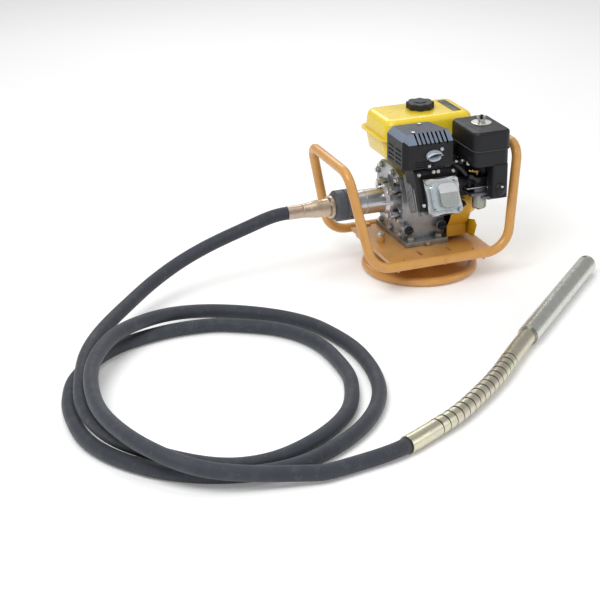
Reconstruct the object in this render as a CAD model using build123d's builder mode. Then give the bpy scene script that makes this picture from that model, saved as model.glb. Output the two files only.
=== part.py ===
from build123d import *
import math
import os

os.makedirs("parts", exist_ok=True)

# World frame: ground at Z = 0, swivel axis at X = Y = 0, crankshaft along X,
# drive output toward -X, recoil starter toward +X, cylinder head toward -Y.

# ---------------------------------------------------------------- sizes (mm)
# carrying frame
tube_r = 12.0
tube_wall = 2.0
rail_y = 145.0
rail_z = 72.0
left_foot_x = -188.0
left_top = (-242.0, 118.0, 316.0)
right_foot_x = 171.0
right_top = (200.0, 127.0, 332.0)
foot_bend_r = 62.0
top_bend_r = 38.0

# mounting plate and what hangs under it
plate_top = 77.0
plate_t = 5.0
plate_half_x = 135.0
plate_half_y = 132.8
slot_w = 9.0
slot_len = 40.0
slot_y = -92.0
boss_at = (-102.0, 8.0)
boss_h = 18.0
tab_xs = (-90.0, 95.0)
beam_x = 115.0
beam_t = 6.0
beam_z = 50.0
hub_r = 24.0
hub_bottom = 36.0
pin_head_r = 15.0
pivot_r = 12.0
pivot_fit = 0.05

# swivel base
ring_tube_r = 11.5
ring_r = 134.5
ring_flat = 0.4
dish_t = 3.0

# engine position
foot_x = -5.0
foot_pitch_x = 75.5
foot_front_y = -41.0
foot_pitch_y = 162.0
foot_face = 57.0
crank_y = 25.0
crank_z = 184.0
cyl_x = -8.0
cyl_tilt = 25.0

# crankcase
case_x0 = -48.0
case_x1 = 54.0
oil_plug_xs = (-50.0, 40.0)
oil_plug_z = 119.0
oil_boss_y = 20.0
foot_t = 13.0
main_r = 12.5
bearing_od_r = 26.0
bearing_w = 15.0
run_fit = 0.05
bore_r = 34.0
stroke = 45.0

# cylinder, measured along its axis from the crankshaft
barrel_start = 48.0
deck = 118.0
head_top = 163.0
fin_w = 104.0
fin_h = 100.0
fin_t = 3.0
fin_pitch = 8.0
cover_side = 7.0
cover_drop = -24.0
cover_w = 90.0
cover_side_r = 110.0
cover_hollow = 2.6
cover_bolt_x = 75.0
cover_bolt_y = 74.0
cover_flange_t = 4.0
dome_h = 14.0
panel_h = 9.0
plug_angle = 31.0

# drive side
adapter_flange_x = -78.0
adapter_r = 31.0
adapter_bore_r = 27.0
adapter_end_x = -222.0
adapter_bolt_r = 46.0
drum_out_r = 26.0
drum_in_r = 23.2
output_r = 8.0
collar_r = 38.5
collar_x0 = -165.0
collar_x1 = -225.0
sleeve_start_x = -235.0
sleeve_end_x = -344.0
hose_r = 16.3
core_r = 6.0
core_end_x = -300.0

# poker and its guard
guard_in_r = 16.8
guard_out_r = 19.4
guard_slit = 2.2
guard_slits = 16
poker_r = 24.0
poker_base = (27.0, -526.0)
poker_tip_at = (371.0, -199.0)
poker_wall = 4.0

# tops of the engine
tank_x = (-94.0, 150.0)
tank_y = (-4.0, 152.0)
tank_bottom_z = 284.0
tank_rim_z = 341.0
tank_top_z = 388.0
cap_at = (35.0, 84.0)
cap_r = 35.0
air_x = (67.0, 165.0)
air_y = (-162.0, -21.0)
air_seam_z = 339.0
air_top_z = 387.0
muffler_x = (-96.0, 32.0)
muffler_y = (-115.0, -13.0)
muffler_top_z = 383.0
muffler_bottom_z = 301.0
sheet = 1.6
fan_r = 98.0
fan_x0 = 54.0
fan_x1 = 112.0
recoil_end_x = 148.0
pull_dir_angle = 40.0
pull_x = 128.0
pulley_r = 28.0
carb_y = -104.0
carb_z = 250.0

# ------------------------------------------------------------ shared frames
crank_end = Plane(origin=(0, crank_y, crank_z), x_dir=(0, 1, 0), z_dir=(1, 0, 0))
tilt = math.radians(cyl_tilt)
cyl = Plane(
    origin=(cyl_x, crank_y, crank_z),
    x_dir=(1, 0, 0),
    z_dir=(0, -math.cos(tilt), math.sin(tilt)),
)
poker_dx = poker_tip_at[0] - poker_base[0]
poker_dy = poker_tip_at[1] - poker_base[1]
poker_len = math.hypot(poker_dx, poker_dy)
poker_dir = (poker_dx / poker_len, poker_dy / poker_len, 0)
poker = Plane(
    origin=(poker_base[0], poker_base[1], poker_r),
    x_dir=(-poker_dir[1], poker_dir[0], 0),
    z_dir=poker_dir,
)
plug_lean = math.radians(plug_angle)
plug_base = cyl.from_local_coords(Vector(34, 32.2, 150))
plug_tip = cyl.from_local_coords(Vector(34 + math.sin(plug_lean), 32.2 + math.cos(plug_lean), 150))
plug_axis = Plane(origin=plug_base, z_dir=plug_tip - plug_base)
foot_xs = (foot_x - foot_pitch_x / 2, foot_x + foot_pitch_x / 2)
foot_ys = (foot_front_y, foot_front_y + foot_pitch_y)


def ring(radius_out, radius_in, height):
    """Upright ring on the active plane."""
    Cylinder(radius_out, height, align=(Align.CENTER, Align.CENTER, Align.MIN))
    Cylinder(
        radius_in,
        height,
        align=(Align.CENTER, Align.CENTER, Align.MIN),
        mode=Mode.SUBTRACT,
    )


def save(block, name):
    block.part.label = name
    export_step(block.part, f"parts/{name}.step")
    print(name, round(block.part.volume / 1000, 2), "cm3")


# ============================================================ carrying frame
def hoop_points(foot_at, top):
    return [
        (0, -rail_y, rail_z),
        (foot_at, -rail_y, rail_z),
        (top[0], -top[1], top[2]),
        (top[0], top[1], top[2]),
        (foot_at, rail_y, rail_z),
        (0, rail_y, rail_z),
    ]


hoop_radii = (foot_bend_r, top_bend_r, top_bend_r, foot_bend_r)

with BuildPart() as frame_tube:
    for foot_at, top, outward in (
        (left_foot_x, left_top, -1),
        (right_foot_x, right_top, 1),
    ):
        with BuildLine() as hoop_line:
            FilletPolyline(*hoop_points(foot_at, top), radius=hoop_radii)
        start = Plane(origin=(0, -rail_y, rail_z), z_dir=(outward, 0, 0))
        with BuildSketch(start):
            Circle(tube_r)
            Circle(tube_r - tube_wall, mode=Mode.SUBTRACT)
        sweep(path=hoop_line.line)
save(frame_tube, "frame_tube")

with BuildPart() as rail_envelope:
    for side in (-1, 1):
        with BuildSketch(Plane(origin=(-150, side * rail_y, rail_z), z_dir=(1, 0, 0))):
            Circle(tube_r)
        extrude(amount=300)

with BuildPart() as mounting_plate:
    with BuildSketch(Plane.XY.offset(plate_top - plate_t)):
        Rectangle(2 * plate_half_x, 2 * plate_half_y)
        with Locations(*[(x, slot_y) for x in foot_xs]):
            SlotOverall(slot_len, slot_w, rotation=90, mode=Mode.SUBTRACT)
        with Locations(*[(x, y) for x in foot_xs for y in foot_ys]):
            Circle(5.2, mode=Mode.SUBTRACT)
    extrude(amount=plate_t)
    # short weld tabs bridge the plate edge and the rails
    for side in (-1, 1):
        with Locations(*[(x, side * 131, plate_top) for x in tab_xs]):
            Box(18, 14, 5, align=(Align.CENTER, Align.CENTER, Align.MIN))
    # welded boss for the bolt beside the engine
    with Locations((boss_at[0], boss_at[1], plate_top)):
        Cylinder(9, boss_h, align=(Align.CENTER, Align.CENTER, Align.MIN))
    with Locations((boss_at[0], boss_at[1], plate_top - plate_t)):
        Cylinder(
            5.2,
            plate_t + boss_h,
            align=(Align.CENTER, Align.CENTER, Align.MIN),
            mode=Mode.SUBTRACT,
        )
    add(rail_envelope.part, mode=Mode.SUBTRACT)
save(mounting_plate, "mounting_plate")

with BuildPart() as cross_beams:
    with Locations((-beam_x, 0, beam_z), (beam_x, 0, beam_z)):
        Box(
            beam_t,
            2 * 133.0,
            plate_top - plate_t - beam_z,
            align=(Align.CENTER, Align.CENTER, Align.MIN),
        )
    add(rail_envelope.part, mode=Mode.SUBTRACT)
save(cross_beams, "cross_beams")

hub_plate_z = plate_top - plate_t - 4.0
with BuildPart() as hub_bracket:
    with Locations((0, 0, hub_plate_z)):
        Box(2 * beam_x - beam_t, 58, 4, align=(Align.CENTER, Align.CENTER, Align.MIN))
    with Locations((0, 0, hub_bottom)):
        Cylinder(hub_r, hub_plate_z - hub_bottom, align=(Align.CENTER, Align.CENTER, Align.MIN))
    for angle in (0, 90, 180, 270):
        with BuildSketch(Plane.XZ.rotated((0, 0, angle)).offset(-2)):
            with BuildLine():
                Polyline((hub_r - 1, 44), (hub_r - 1, hub_plate_z), (37, hub_plate_z), close=True)
            make_face()
        extrude(amount=4)
    # bore for the pivot pin, with a pocket for its riveted head
    with Locations((0, 0, hub_bottom)):
        Cylinder(
            pivot_r + pivot_fit,
            40,
            align=(Align.CENTER, Align.CENTER, Align.MIN),
            mode=Mode.SUBTRACT,
        )
    with Locations((0, 0, hub_plate_z)):
        Cylinder(
            pin_head_r + 2,
            8,
            align=(Align.CENTER, Align.CENTER, Align.MIN),
            mode=Mode.SUBTRACT,
        )
save(hub_bracket, "hub_bracket")

# ============================================================== swivel base
with BuildPart() as base_ring:
    with BuildSketch(Plane.XZ):
        with Locations((ring_r, ring_tube_r - ring_flat)):
            Circle(ring_tube_r)
            Circle(ring_tube_r - 2, mode=Mode.SUBTRACT)
        # pressed flat underneath where it stands
        with Locations((ring_r, -2)):
            Rectangle(20, 4, mode=Mode.SUBTRACT)
    revolve(axis=Axis.Z)
save(base_ring, "base_ring")

with BuildPart() as ring_envelope:
    with BuildSketch(Plane.XZ):
        with Locations((ring_r, ring_tube_r - ring_flat)):
            Circle(ring_tube_r)
    revolve(axis=Axis.Z)

with BuildPart() as base_dish:
    with BuildSketch(Plane.XZ):
        with BuildLine():
            Spline((126, 17), (80, 22), (40, 27), (pivot_r, 29), tangents=((-1, 0), (-1, 0)))
            Line((pivot_r, 29), (pivot_r, 29 - dish_t - 3))
            Line((pivot_r, 29 - dish_t - 3), (28, 29 - dish_t - 3))
            Spline((28, 29 - dish_t - 3), (80, 22 - dish_t), (126, 17 - dish_t))
            Line((126, 17 - dish_t), (126, 17))
        make_face()
    revolve(axis=Axis.Z)
    add(ring_envelope.part, mode=Mode.SUBTRACT)
save(base_dish, "base_dish")

with BuildPart() as pivot_pin:
    with BuildSketch(Plane.XZ):
        with BuildLine():
            Polyline(
                (0, 14),
                (pivot_r + 6, 14),
                (pivot_r + 6, 23),
                (pivot_r, 23),
                (pivot_r, 29),
                (hub_r - 2, 29),
                (hub_r - 2, hub_bottom - 0.3),
                (pivot_r, hub_bottom - 0.3),
                (pivot_r, hub_plate_z + 0.3),
                (pin_head_r, hub_plate_z + 0.3),
                (pin_head_r, hub_plate_z + 1.6),
                (pivot_r - 1, hub_plate_z + 2.6),
                (0, hub_plate_z + 2.6),
                close=True,
            )
        make_face()
    revolve(axis=Axis.Z)
save(pivot_pin, "pivot_pin")

# ================================================================ crankcase
foot_z = plate_top + foot_t
chamber_r = 50.0
case_outline = (
    (-28, foot_z - 1),
    (-28, 205),
    (-8, 246),
    (24, 260),
    (104, 260),
    (132, 238),
    (132, 132),
    (108, 106),
    (108, foot_z - 1),
)
cover_bolts_at = (
    (-18, 101),
    (-20.5, 139),
    (-4, 238),
    (28, 250),
    (98, 249),
    (121, 228),
    (121, 150),
    (98, 102),
    (38, 101),
)
with BuildPart() as crankcase:
    with BuildSketch(Plane.YZ.offset(case_x0)):
        with BuildLine():
            Polyline(*case_outline, close=True)
        make_face()
        fillet(vertices().filter_by(lambda v: v.Z > 110), 9)
    extrude(amount=case_x1 - case_x0)
    # one-piece cylinder barrel with cooling fins
    with BuildSketch(cyl.offset(barrel_start)):
        Circle(39)
    extrude(amount=deck - barrel_start)
    for row in range(5):
        with BuildSketch(cyl.offset(deck - fin_t - row * fin_pitch)):
            RectangleRounded(fin_w, fin_h, 8)
        extrude(amount=fin_t)
    # foot flange
    with Locations((foot_x, 37, plate_top)):
        Box(114, 188, foot_t, align=(Align.CENTER, Align.CENTER, Align.MIN))
    # plug bosses at the lower front corners
    for x in oil_plug_xs:
        with BuildSketch(Plane.XZ.offset(oil_boss_y)):
            with Locations((x, oil_plug_z)):
                Circle(13)
        extrude(amount=24)
    # crank chamber, bore and bearing seat
    with BuildSketch(Plane.YZ.offset(case_x0)):
        with Locations((crank_y, crank_z)):
            Circle(chamber_r)
        with Locations((98, 186)):
            RectangleRounded(42, 90, 8)
    extrude(amount=case_x1 - case_x0 - 14, mode=Mode.SUBTRACT)
    with BuildSketch(Plane.YZ.offset(case_x0)):
        with Locations((crank_y, crank_z)):
            Circle(bearing_od_r)
    extrude(amount=case_x1 - case_x0, mode=Mode.SUBTRACT)
    with BuildSketch(cyl.offset(30)):
        Circle(bore_r + run_fit)
    extrude(amount=deck - 30, mode=Mode.SUBTRACT)
    # plug threads and foot holes
    for x in oil_plug_xs:
        with BuildSketch(Plane.XZ.offset(oil_boss_y + 5)):
            with Locations((x, oil_plug_z)):
                Circle(8)
        extrude(amount=19, mode=Mode.SUBTRACT)
    with BuildSketch(Plane.XY.offset(plate_top)):
        with Locations(*[(x, y) for x in foot_xs for y in foot_ys]):
            Circle(5.2)
    extrude(amount=foot_t, mode=Mode.SUBTRACT)
    with BuildSketch(Plane.XZ.offset(foot_face)):
        with Locations((foot_x, plate_top + 6.5)):
            Circle(4)
    extrude(amount=-15, mode=Mode.SUBTRACT)
    with BuildSketch(Plane.YZ.offset(case_x0)):
        with Locations(*cover_bolts_at):
            Circle(3.05)
    extrude(amount=16, mode=Mode.SUBTRACT)
save(crankcase, "crankcase")

# --------------------------------------------------- drive-side crank cover
cover_t = 12.0
with BuildPart() as side_cover:
    with BuildSketch(Plane.YZ.offset(case_x0)):
        with BuildLine():
            Polyline(*case_outline, close=True)
        make_face()
        fillet(vertices().filter_by(lambda v: v.Z > 110), 9)
    extrude(amount=-cover_t)
    # lugs round the joint face
    with BuildSketch(Plane.YZ.offset(case_x0)):
        with Locations(*cover_bolts_at):
            Circle(8.5)
    extrude(amount=-cover_t - 5)
    # boss that carries the adapter, with stiffening ribs
    with BuildSketch(crank_end.offset(case_x0 - cover_t)):
        Circle(38)
    extrude(amount=adapter_flange_x - case_x0 + cover_t)
    for spoke in range(8):
        with BuildSketch(crank_end.offset(case_x0 - cover_t)):
            with Locations(Location((0, 0), spoke * 45 + 18)):
                with Locations((46, 0)):
                    Rectangle(26, 5)
        extrude(amount=-8)
    for corner in range(4):
        with BuildSketch(crank_end.offset(case_x0 - cover_t)):
            with Locations(Location((0, 0), corner * 90 + 45)):
                with Locations((adapter_bolt_r, 0)):
                    Circle(9)
        extrude(amount=adapter_flange_x - case_x0 + cover_t)
    # cam-gear bulge behind the crank
    with BuildSketch(Plane.YZ.offset(case_x0 - cover_t)):
        with Locations((99, 190)):
            Circle(24)
    extrude(amount=-9, taper=12)
    # bearing seat, shaft hole, fixing holes
    with BuildSketch(crank_end.offset(case_x0)):
        Circle(bearing_od_r)
    extrude(amount=-cover_t - 8, mode=Mode.SUBTRACT)
    with BuildSketch(crank_end.offset(case_x0)):
        Circle(main_r + 1)
    extrude(amount=-60, mode=Mode.SUBTRACT)
    with BuildSketch(Plane.YZ.offset(case_x0)):
        with Locations(*cover_bolts_at):
            Circle(3.05)
    extrude(amount=-60, mode=Mode.SUBTRACT)
    for corner in range(4):
        with BuildSketch(crank_end.offset(adapter_flange_x)):
            with Locations(Location((0, 0), corner * 90 + 45)):
                with Locations((adapter_bolt_r, 0)):
                    Circle(4.05)
        extrude(amount=14, mode=Mode.SUBTRACT)
    # relief round the oil boss and over the foot flange
    with BuildSketch(Plane.XZ.offset(oil_boss_y)):
        with Locations((oil_plug_xs[0], oil_plug_z)):
            Circle(13.2)
    extrude(amount=40, mode=Mode.SUBTRACT)
    with Locations((case_x0, 40, foot_z + 0.1)):
        Box(60, 240, 10, align=(Align.CENTER, Align.CENTER, Align.MAX), mode=Mode.SUBTRACT)
save(side_cover, "side_cover")

with BuildPart() as cover_bolts:
    head_face = case_x0 - cover_t - 5
    with BuildSketch(Plane.YZ.offset(head_face)):
        with Locations(*cover_bolts_at):
            RegularPolygon(5.8, 6)
    extrude(amount=-5)
    with BuildSketch(Plane.YZ.offset(head_face)):
        with Locations(*cover_bolts_at):
            Circle(7.2)
    extrude(amount=-1.4)
    with BuildSketch(Plane.YZ.offset(head_face)):
        with Locations(*cover_bolts_at):
            Circle(3)
    extrude(amount=cover_t + 5 + 14)
save(cover_bolts, "cover_bolts")

with BuildPart() as main_bearings:
    for face in (case_x0 - cover_t - 8, case_x1 - bearing_w):
        with BuildSketch(crank_end.offset(face)):
            Circle(bearing_od_r)
            Circle(main_r + run_fit, mode=Mode.SUBTRACT)
        extrude(amount=bearing_w)
        for side in (face, face + bearing_w - 1.5):
            with BuildSketch(crank_end.offset(side)):
                Circle(bearing_od_r - 3.5)
                Circle(main_r + 3, mode=Mode.SUBTRACT)
            extrude(amount=1.5, mode=Mode.SUBTRACT)
save(main_bearings, "main_bearings")

# ============================================================ crank train
web_r = 46.0
web_t = 12.0
throw = stroke / 2
pto_end_x = -138.0
with BuildPart() as crankshaft:
    with BuildSketch(Plane.XY):
        with BuildLine():
            Polyline(
                (pto_end_x, 0),
                (pto_end_x, 8.5),
                (pto_end_x + 1, 9.5),
                (-80, 9.5),
                (-80, main_r - 1),
                (-69, main_r - 1),
                (-69, main_r),
                (-24, main_r),
                (-24, 18),
                (-12, 18),
                (-12, 0),
                close=True,
            )
        make_face()
        with BuildLine():
            Polyline(
                (12, 0),
                (12, 18),
                (24, 18),
                (24, main_r),
                (58, main_r),
                (82, 9),
                (82, 7),
                (100, 7),
                (101, 6),
                (101, 0),
                close=True,
            )
        make_face()
    revolve(axis=Axis.X)
    for web_x in (-24, 12):
        with BuildSketch(Plane.YZ.offset(web_x)):
            Circle(web_r)
            with Locations((web_r + 2, 0)):
                Rectangle(32, 2 * web_r, mode=Mode.SUBTRACT)
            with Locations((throw, 0)):
                Circle(19)
        extrude(amount=web_t)
    with BuildSketch(Plane.YZ.offset(-13)):
        with Locations((throw, 0)):
            Circle(15)
    extrude(amount=26)
crankshaft.part = crankshaft.part.rotate(Axis.X, -cyl_tilt)
crankshaft.part = crankshaft.part.moved(Location((0, crank_y, crank_z)))
save(crankshaft, "crankshaft")

piston_bottom = 49.5
piston_len = 23.0
with BuildPart() as piston:
    with BuildSketch(cyl.offset(piston_bottom)):
        Circle(bore_r - run_fit)
    extrude(amount=piston_len)
    for groove in (14, 18):
        with BuildSketch(cyl.offset(piston_bottom + groove)):
            Circle(bore_r)
            Circle(bore_r - 2.5, mode=Mode.SUBTRACT)
        extrude(amount=1.5, mode=Mode.SUBTRACT)
    with BuildSketch(cyl.offset(piston_bottom)):
        Circle(27)
    extrude(amount=piston_len - 7, mode=Mode.SUBTRACT)
save(piston, "piston")

flywheel_x0 = 62.0
flywheel_x1 = 84.0
flywheel_r = 88.0
with BuildPart() as flywheel:
    with BuildSketch(crank_end.offset(flywheel_x0)):
        Circle(70)
    extrude(amount=10)
    with BuildSketch(crank_end.offset(flywheel_x0 + 6)):
        Circle(flywheel_r)
    extrude(amount=4)
    with BuildSketch(crank_end.offset(flywheel_x0 + 9)):
        with PolarLocations(62, 14):
            Rectangle(48, 3, rotation=24)
    extrude(amount=14)
    with BuildSketch(crank_end.offset(flywheel_x0)):
        Circle(24)
    extrude(amount=flywheel_x1 - flywheel_x0)
    # starter cup with its hexagon nut on the outer face
    with BuildSketch(crank_end.offset(flywheel_x1)):
        Circle(34)
    extrude(amount=15)
    with BuildSketch(crank_end.offset(flywheel_x1 + 3)):
        Circle(31.5)
    extrude(amount=12, mode=Mode.SUBTRACT)
    with BuildSketch(crank_end.offset(flywheel_x1 + 3)):
        RegularPolygon(13, 6)
    extrude(amount=9)
    with BuildSketch(Plane(origin=(58, crank_y, crank_z), z_dir=(1, 0, 0))):
        Circle(main_r)
    extrude(amount=24, taper=math.degrees(math.atan(3.5 / 24)), mode=Mode.SUBTRACT)
    with BuildSketch(crank_end.offset(80)):
        Circle(9)
    extrude(amount=4, mode=Mode.SUBTRACT)
    with BuildSketch(crank_end.offset(flywheel_x1)):
        Circle(7.02)
    extrude(amount=15, mode=Mode.SUBTRACT)
save(flywheel, "flywheel")

# ============================================================ head and cover
with BuildPart() as cylinder_head:
    with BuildSketch(cyl.offset(deck)):
        with Locations((0, -8)):
            RectangleRounded(96, 104, 10)
    extrude(amount=8)
    with BuildSketch(cyl.offset(deck)):
        with Locations((0, -12)):
            RectangleRounded(80, 88, 10)
    extrude(amount=head_top - deck)
    for row in range(4):
        with BuildSketch(cyl.offset(deck + 12 + row * fin_pitch)):
            with Locations((0, -10)):
                RectangleRounded(fin_w, 108, 8)
        extrude(amount=fin_t)
    with BuildSketch(cyl.offset(head_top - 6)):
        with Locations((cover_side, cover_drop)):
            RectangleRounded(cover_w, cover_w, 12)
    extrude(amount=6)
    # pocket for the spark plug
    with BuildSketch(plug_axis):
        Circle(13)
    extrude(amount=34, mode=Mode.SUBTRACT)
    # combustion chamber and cover screw holes
    with BuildSketch(cyl.offset(deck)):
        Circle(30)
    extrude(amount=7, mode=Mode.SUBTRACT)
    with BuildSketch(cyl.offset(head_top)):
        with Locations((cover_side, cover_drop)):
            with GridLocations(cover_bolt_x, cover_bolt_y, 2, 2):
                Circle(3.05)
    extrude(amount=-14, mode=Mode.SUBTRACT)
save(cylinder_head, "cylinder_head")

cover_top = head_top + cover_flange_t + dome_h + panel_h
with BuildPart() as valve_cover:
    # flange with an ear at each corner and hollowed sides between them
    with BuildSketch(cyl.offset(head_top)):
        with Locations((cover_side, cover_drop)):
            RectangleRounded(cover_w, cover_w, 12)
            with PolarLocations(cover_w / 2 + cover_side_r - cover_hollow, 4):
                Circle(cover_side_r, mode=Mode.SUBTRACT)
    extrude(amount=cover_flange_t)
    # rocker dome with a raised panel whose upper third slopes back
    with BuildSketch(cyl.offset(head_top + cover_flange_t)):
        with Locations((cover_side, cover_drop)):
            RectangleRounded(68, 70, 15)
    extrude(amount=dome_h, taper=7)
    with BuildSketch(cyl.offset(cover_top - panel_h)):
        with Locations((cover_side + 6, cover_drop)):
            RectangleRounded(48, 60, 15)
    extrude(amount=panel_h, taper=5)
    with BuildSketch(Plane(origin=cyl.origin, x_dir=cyl.y_dir, z_dir=(1, 0, 0))):
        with BuildLine():
            Polyline(
                (cover_drop + 6, cover_top),
                (cover_drop + 34, cover_top),
                (cover_drop + 34, cover_top - 8),
                close=True,
            )
        make_face()
    extrude(amount=90, both=True, mode=Mode.SUBTRACT)
    with BuildSketch(cyl.offset(head_top)):
        with Locations((cover_side, cover_drop)):
            RectangleRounded(62, 64, 12)
    extrude(amount=dome_h + 1, taper=7, mode=Mode.SUBTRACT)
    with BuildSketch(cyl.offset(head_top)):
        with Locations((cover_side, cover_drop)):
            with GridLocations(cover_bolt_x, cover_bolt_y, 2, 2):
                Circle(3.05)
    extrude(amount=10, mode=Mode.SUBTRACT)
save(valve_cover, "valve_cover")

with BuildPart() as valve_cover_bolts:
    with BuildSketch(cyl.offset(head_top - 12)):
        with Locations((cover_side, cover_drop)):
            with GridLocations(cover_bolt_x, cover_bolt_y, 2, 2):
                Circle(3)
    extrude(amount=16)
    with BuildSketch(cyl.offset(head_top + cover_flange_t)):
        with Locations((cover_side, cover_drop)):
            with GridLocations(cover_bolt_x, cover_bolt_y, 2, 2):
                Circle(6.5)
    extrude(amount=1.4)
    with BuildSketch(cyl.offset(head_top + cover_flange_t)):
        with Locations((cover_side, cover_drop)):
            with GridLocations(cover_bolt_x, cover_bolt_y, 2, 2):
                RegularPolygon(5.4, 6)
    extrude(amount=5.5)
save(valve_cover_bolts, "valve_cover_bolts")

shroud_side = -55.6
shroud_face = 151.4
with BuildPart() as cylinder_shroud:
    # side plate, deep at the top and narrow lower down
    with BuildSketch(
        Plane(
            origin=(cyl_x + shroud_side, crank_y, crank_z),
            x_dir=cyl.z_dir,
            z_dir=(1, 0, 0),
        )
    ):
        with BuildLine():
            Polyline(
                (104, -56),
                (shroud_face, -54),
                (shroud_face, 50),
                (shroud_face - 9, 50),
                (shroud_face - 9, -3),
                (128, -18),
                (104, -26),
                close=True,
            )
        make_face()
    extrude(amount=sheet)
    # front flange beside the head
    with BuildSketch(cyl.offset(shroud_face - sheet)):
        with Locations((shroud_side + 7.5, 2)):
            Rectangle(15, 104)
    extrude(amount=sheet)
save(cylinder_shroud, "cylinder_shroud")

# ===================================================== fan shroud and recoil
def fan_outline(inset):
    Circle(fan_r - inset)
    with Locations((0, -49)):
        Rectangle(140 - 2 * inset, 98 - 2 * inset)


fan = Plane(origin=(0, crank_y, crank_z), x_dir=(0, 1, 0), z_dir=(1, 0, 0))
with BuildPart() as fan_shroud:
    with BuildSketch(fan.offset(fan_x0)):
        fan_outline(0)
    extrude(amount=fan_x1 - fan_x0)
    fillet(faces().sort_by(Axis.X)[-1].edges(), 9)
    with BuildSketch(fan.offset(fan_x0)):
        fan_outline(2)
    extrude(amount=fan_x1 - fan_x0 - 9, mode=Mode.SUBTRACT)
    with BuildSketch(fan.offset(fan_x0)):
        Circle(76)
    extrude(amount=fan_x1 - fan_x0, mode=Mode.SUBTRACT)
    # bracket for the throttle lever and seat for the stop switch
    with Locations((84, -34, 240)):
        Box(30, 26, 32, align=(Align.CENTER, Align.CENTER, Align.MIN))
    with Locations((74, -72, 186)):
        Box(22, 26, 22)
    with BuildSketch(fan.offset(fan_x0)):
        Circle(fan_r - 2)
    extrude(amount=40, mode=Mode.SUBTRACT)
    with Locations((84, -34, 255)):
        Cylinder(3.1, 20, align=(Align.CENTER, Align.CENTER, Align.MIN), mode=Mode.SUBTRACT)
    with BuildSketch(Plane.XZ.offset(70)):
        with Locations((74, 186)):
            Circle(4.1)
    extrude(amount=20, mode=Mode.SUBTRACT)
save(fan_shroud, "fan_shroud")

dome_r = 66.0
dome_t = 2.0
pull = math.radians(pull_dir_angle)
pull_dir = (0, -math.sin(pull), math.cos(pull))
pull_normal = (0, math.cos(pull), math.sin(pull))
rope_from = (
    pull_x,
    crank_y + pulley_r * pull_normal[1],
    crank_z + pulley_r * pull_normal[2],
)
rope = Plane(origin=rope_from, x_dir=(1, 0, 0), z_dir=pull_dir)
handle_at = 68.0
handle_t = 15.0
handle_w = 47.0
with BuildPart() as recoil_cover:
    with BuildSketch(fan.offset(fan_x1)):
        Circle(88)
        with BuildLine():
            Polyline((-60, -60), (-104, -48), (-116, -60), (-100, -96), (-30, -98), close=True)
        make_face()
    extrude(amount=2)
    with BuildSketch(fan.offset(fan_x1)):
        Circle(dome_r)
    extrude(amount=recoil_end_x - fan_x1)
    fillet(faces().sort_by(Axis.X)[-1].edges(), 12)
    with BuildSketch(fan.offset(fan_x1)):
        Circle(dome_r - dome_t)
    extrude(amount=recoil_end_x - fan_x1 - 11, mode=Mode.SUBTRACT)
    with BuildSketch(fan.offset(fan_x1)):
        Circle(dome_r - 12)
    extrude(amount=recoil_end_x - fan_x1 - dome_t, mode=Mode.SUBTRACT)
    with BuildSketch(fan.offset(recoil_end_x - 4)):
        with PolarLocations(38, 12):
            SlotOverall(26, 6)
    extrude(amount=8, mode=Mode.SUBTRACT)
    with BuildSketch(fan.offset(fan_x1 + 6)):
        with PolarLocations(dome_r, 18, start_angle=10):
            Rectangle(12, 7)
    extrude(amount=14, mode=Mode.SUBTRACT)
    # post for the pulley and eyelet for the rope
    with BuildSketch(fan.offset(recoil_end_x - dome_t)):
        Circle(7)
    extrude(amount=-30)
    with BuildSketch(rope.offset(46)):
        Circle(8)
    extrude(amount=14)
    with BuildSketch(rope.offset(40)):
        Circle(2.6)
    extrude(amount=24, mode=Mode.SUBTRACT)
save(recoil_cover, "recoil_cover")

with BuildPart() as recoil_pulley:
    with BuildSketch(Plane.XZ):
        with BuildLine():
            Polyline(
                (119, 7.1),
                (119, 30),
                (122, 30),
                (125, 25),
                (131, 25),
                (134, 30),
                (137, 30),
                (137, 7.1),
                close=True,
            )
        make_face()
    revolve(axis=Axis.X)
recoil_pulley.part = recoil_pulley.part.moved(Location((0, crank_y, crank_z)))
save(recoil_pulley, "recoil_pulley")

with BuildPart() as recoil_handle:
    with BuildSketch(rope.offset(18)):
        Circle(2)
    extrude(amount=handle_at - 17)
    with BuildSketch(rope.offset(handle_at)):
        RectangleRounded(handle_t, handle_w, 7)
    extrude(amount=15)
    fillet(faces().sort_by(Axis((0, 0, 0), pull_dir))[-1].edges(), 4)
save(recoil_handle, "recoil_handle")

# ==================================================================== exhaust
guard_bevel_y = -92.0
guard_bevel_z = 363.0
outlet_at = (-18.0, 334.0)
guard_screws_at = ((-17, -26), (-59, -82))
with BuildPart() as muffler_body:
    with Locations((-36, -58, 338)):
        Box(92, 70, 60)
    fillet(edges(), 9)
    with Locations((-36, -58, 338)):
        Box(86, 64, 54, mode=Mode.SUBTRACT)
    with Locations((-34, -80, 268)):
        Cylinder(11, 43, align=(Align.CENTER, Align.CENTER, Align.MIN))
    with Locations((-34, -80, 268)):
        Cylinder(8, 50, align=(Align.CENTER, Align.CENTER, Align.MIN), mode=Mode.SUBTRACT)
    with BuildSketch(cyl):
        with Locations((0, -26)):
            Rectangle(160, 140.4)
    extrude(amount=260, mode=Mode.SUBTRACT)
save(muffler_body, "muffler_body")

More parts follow.
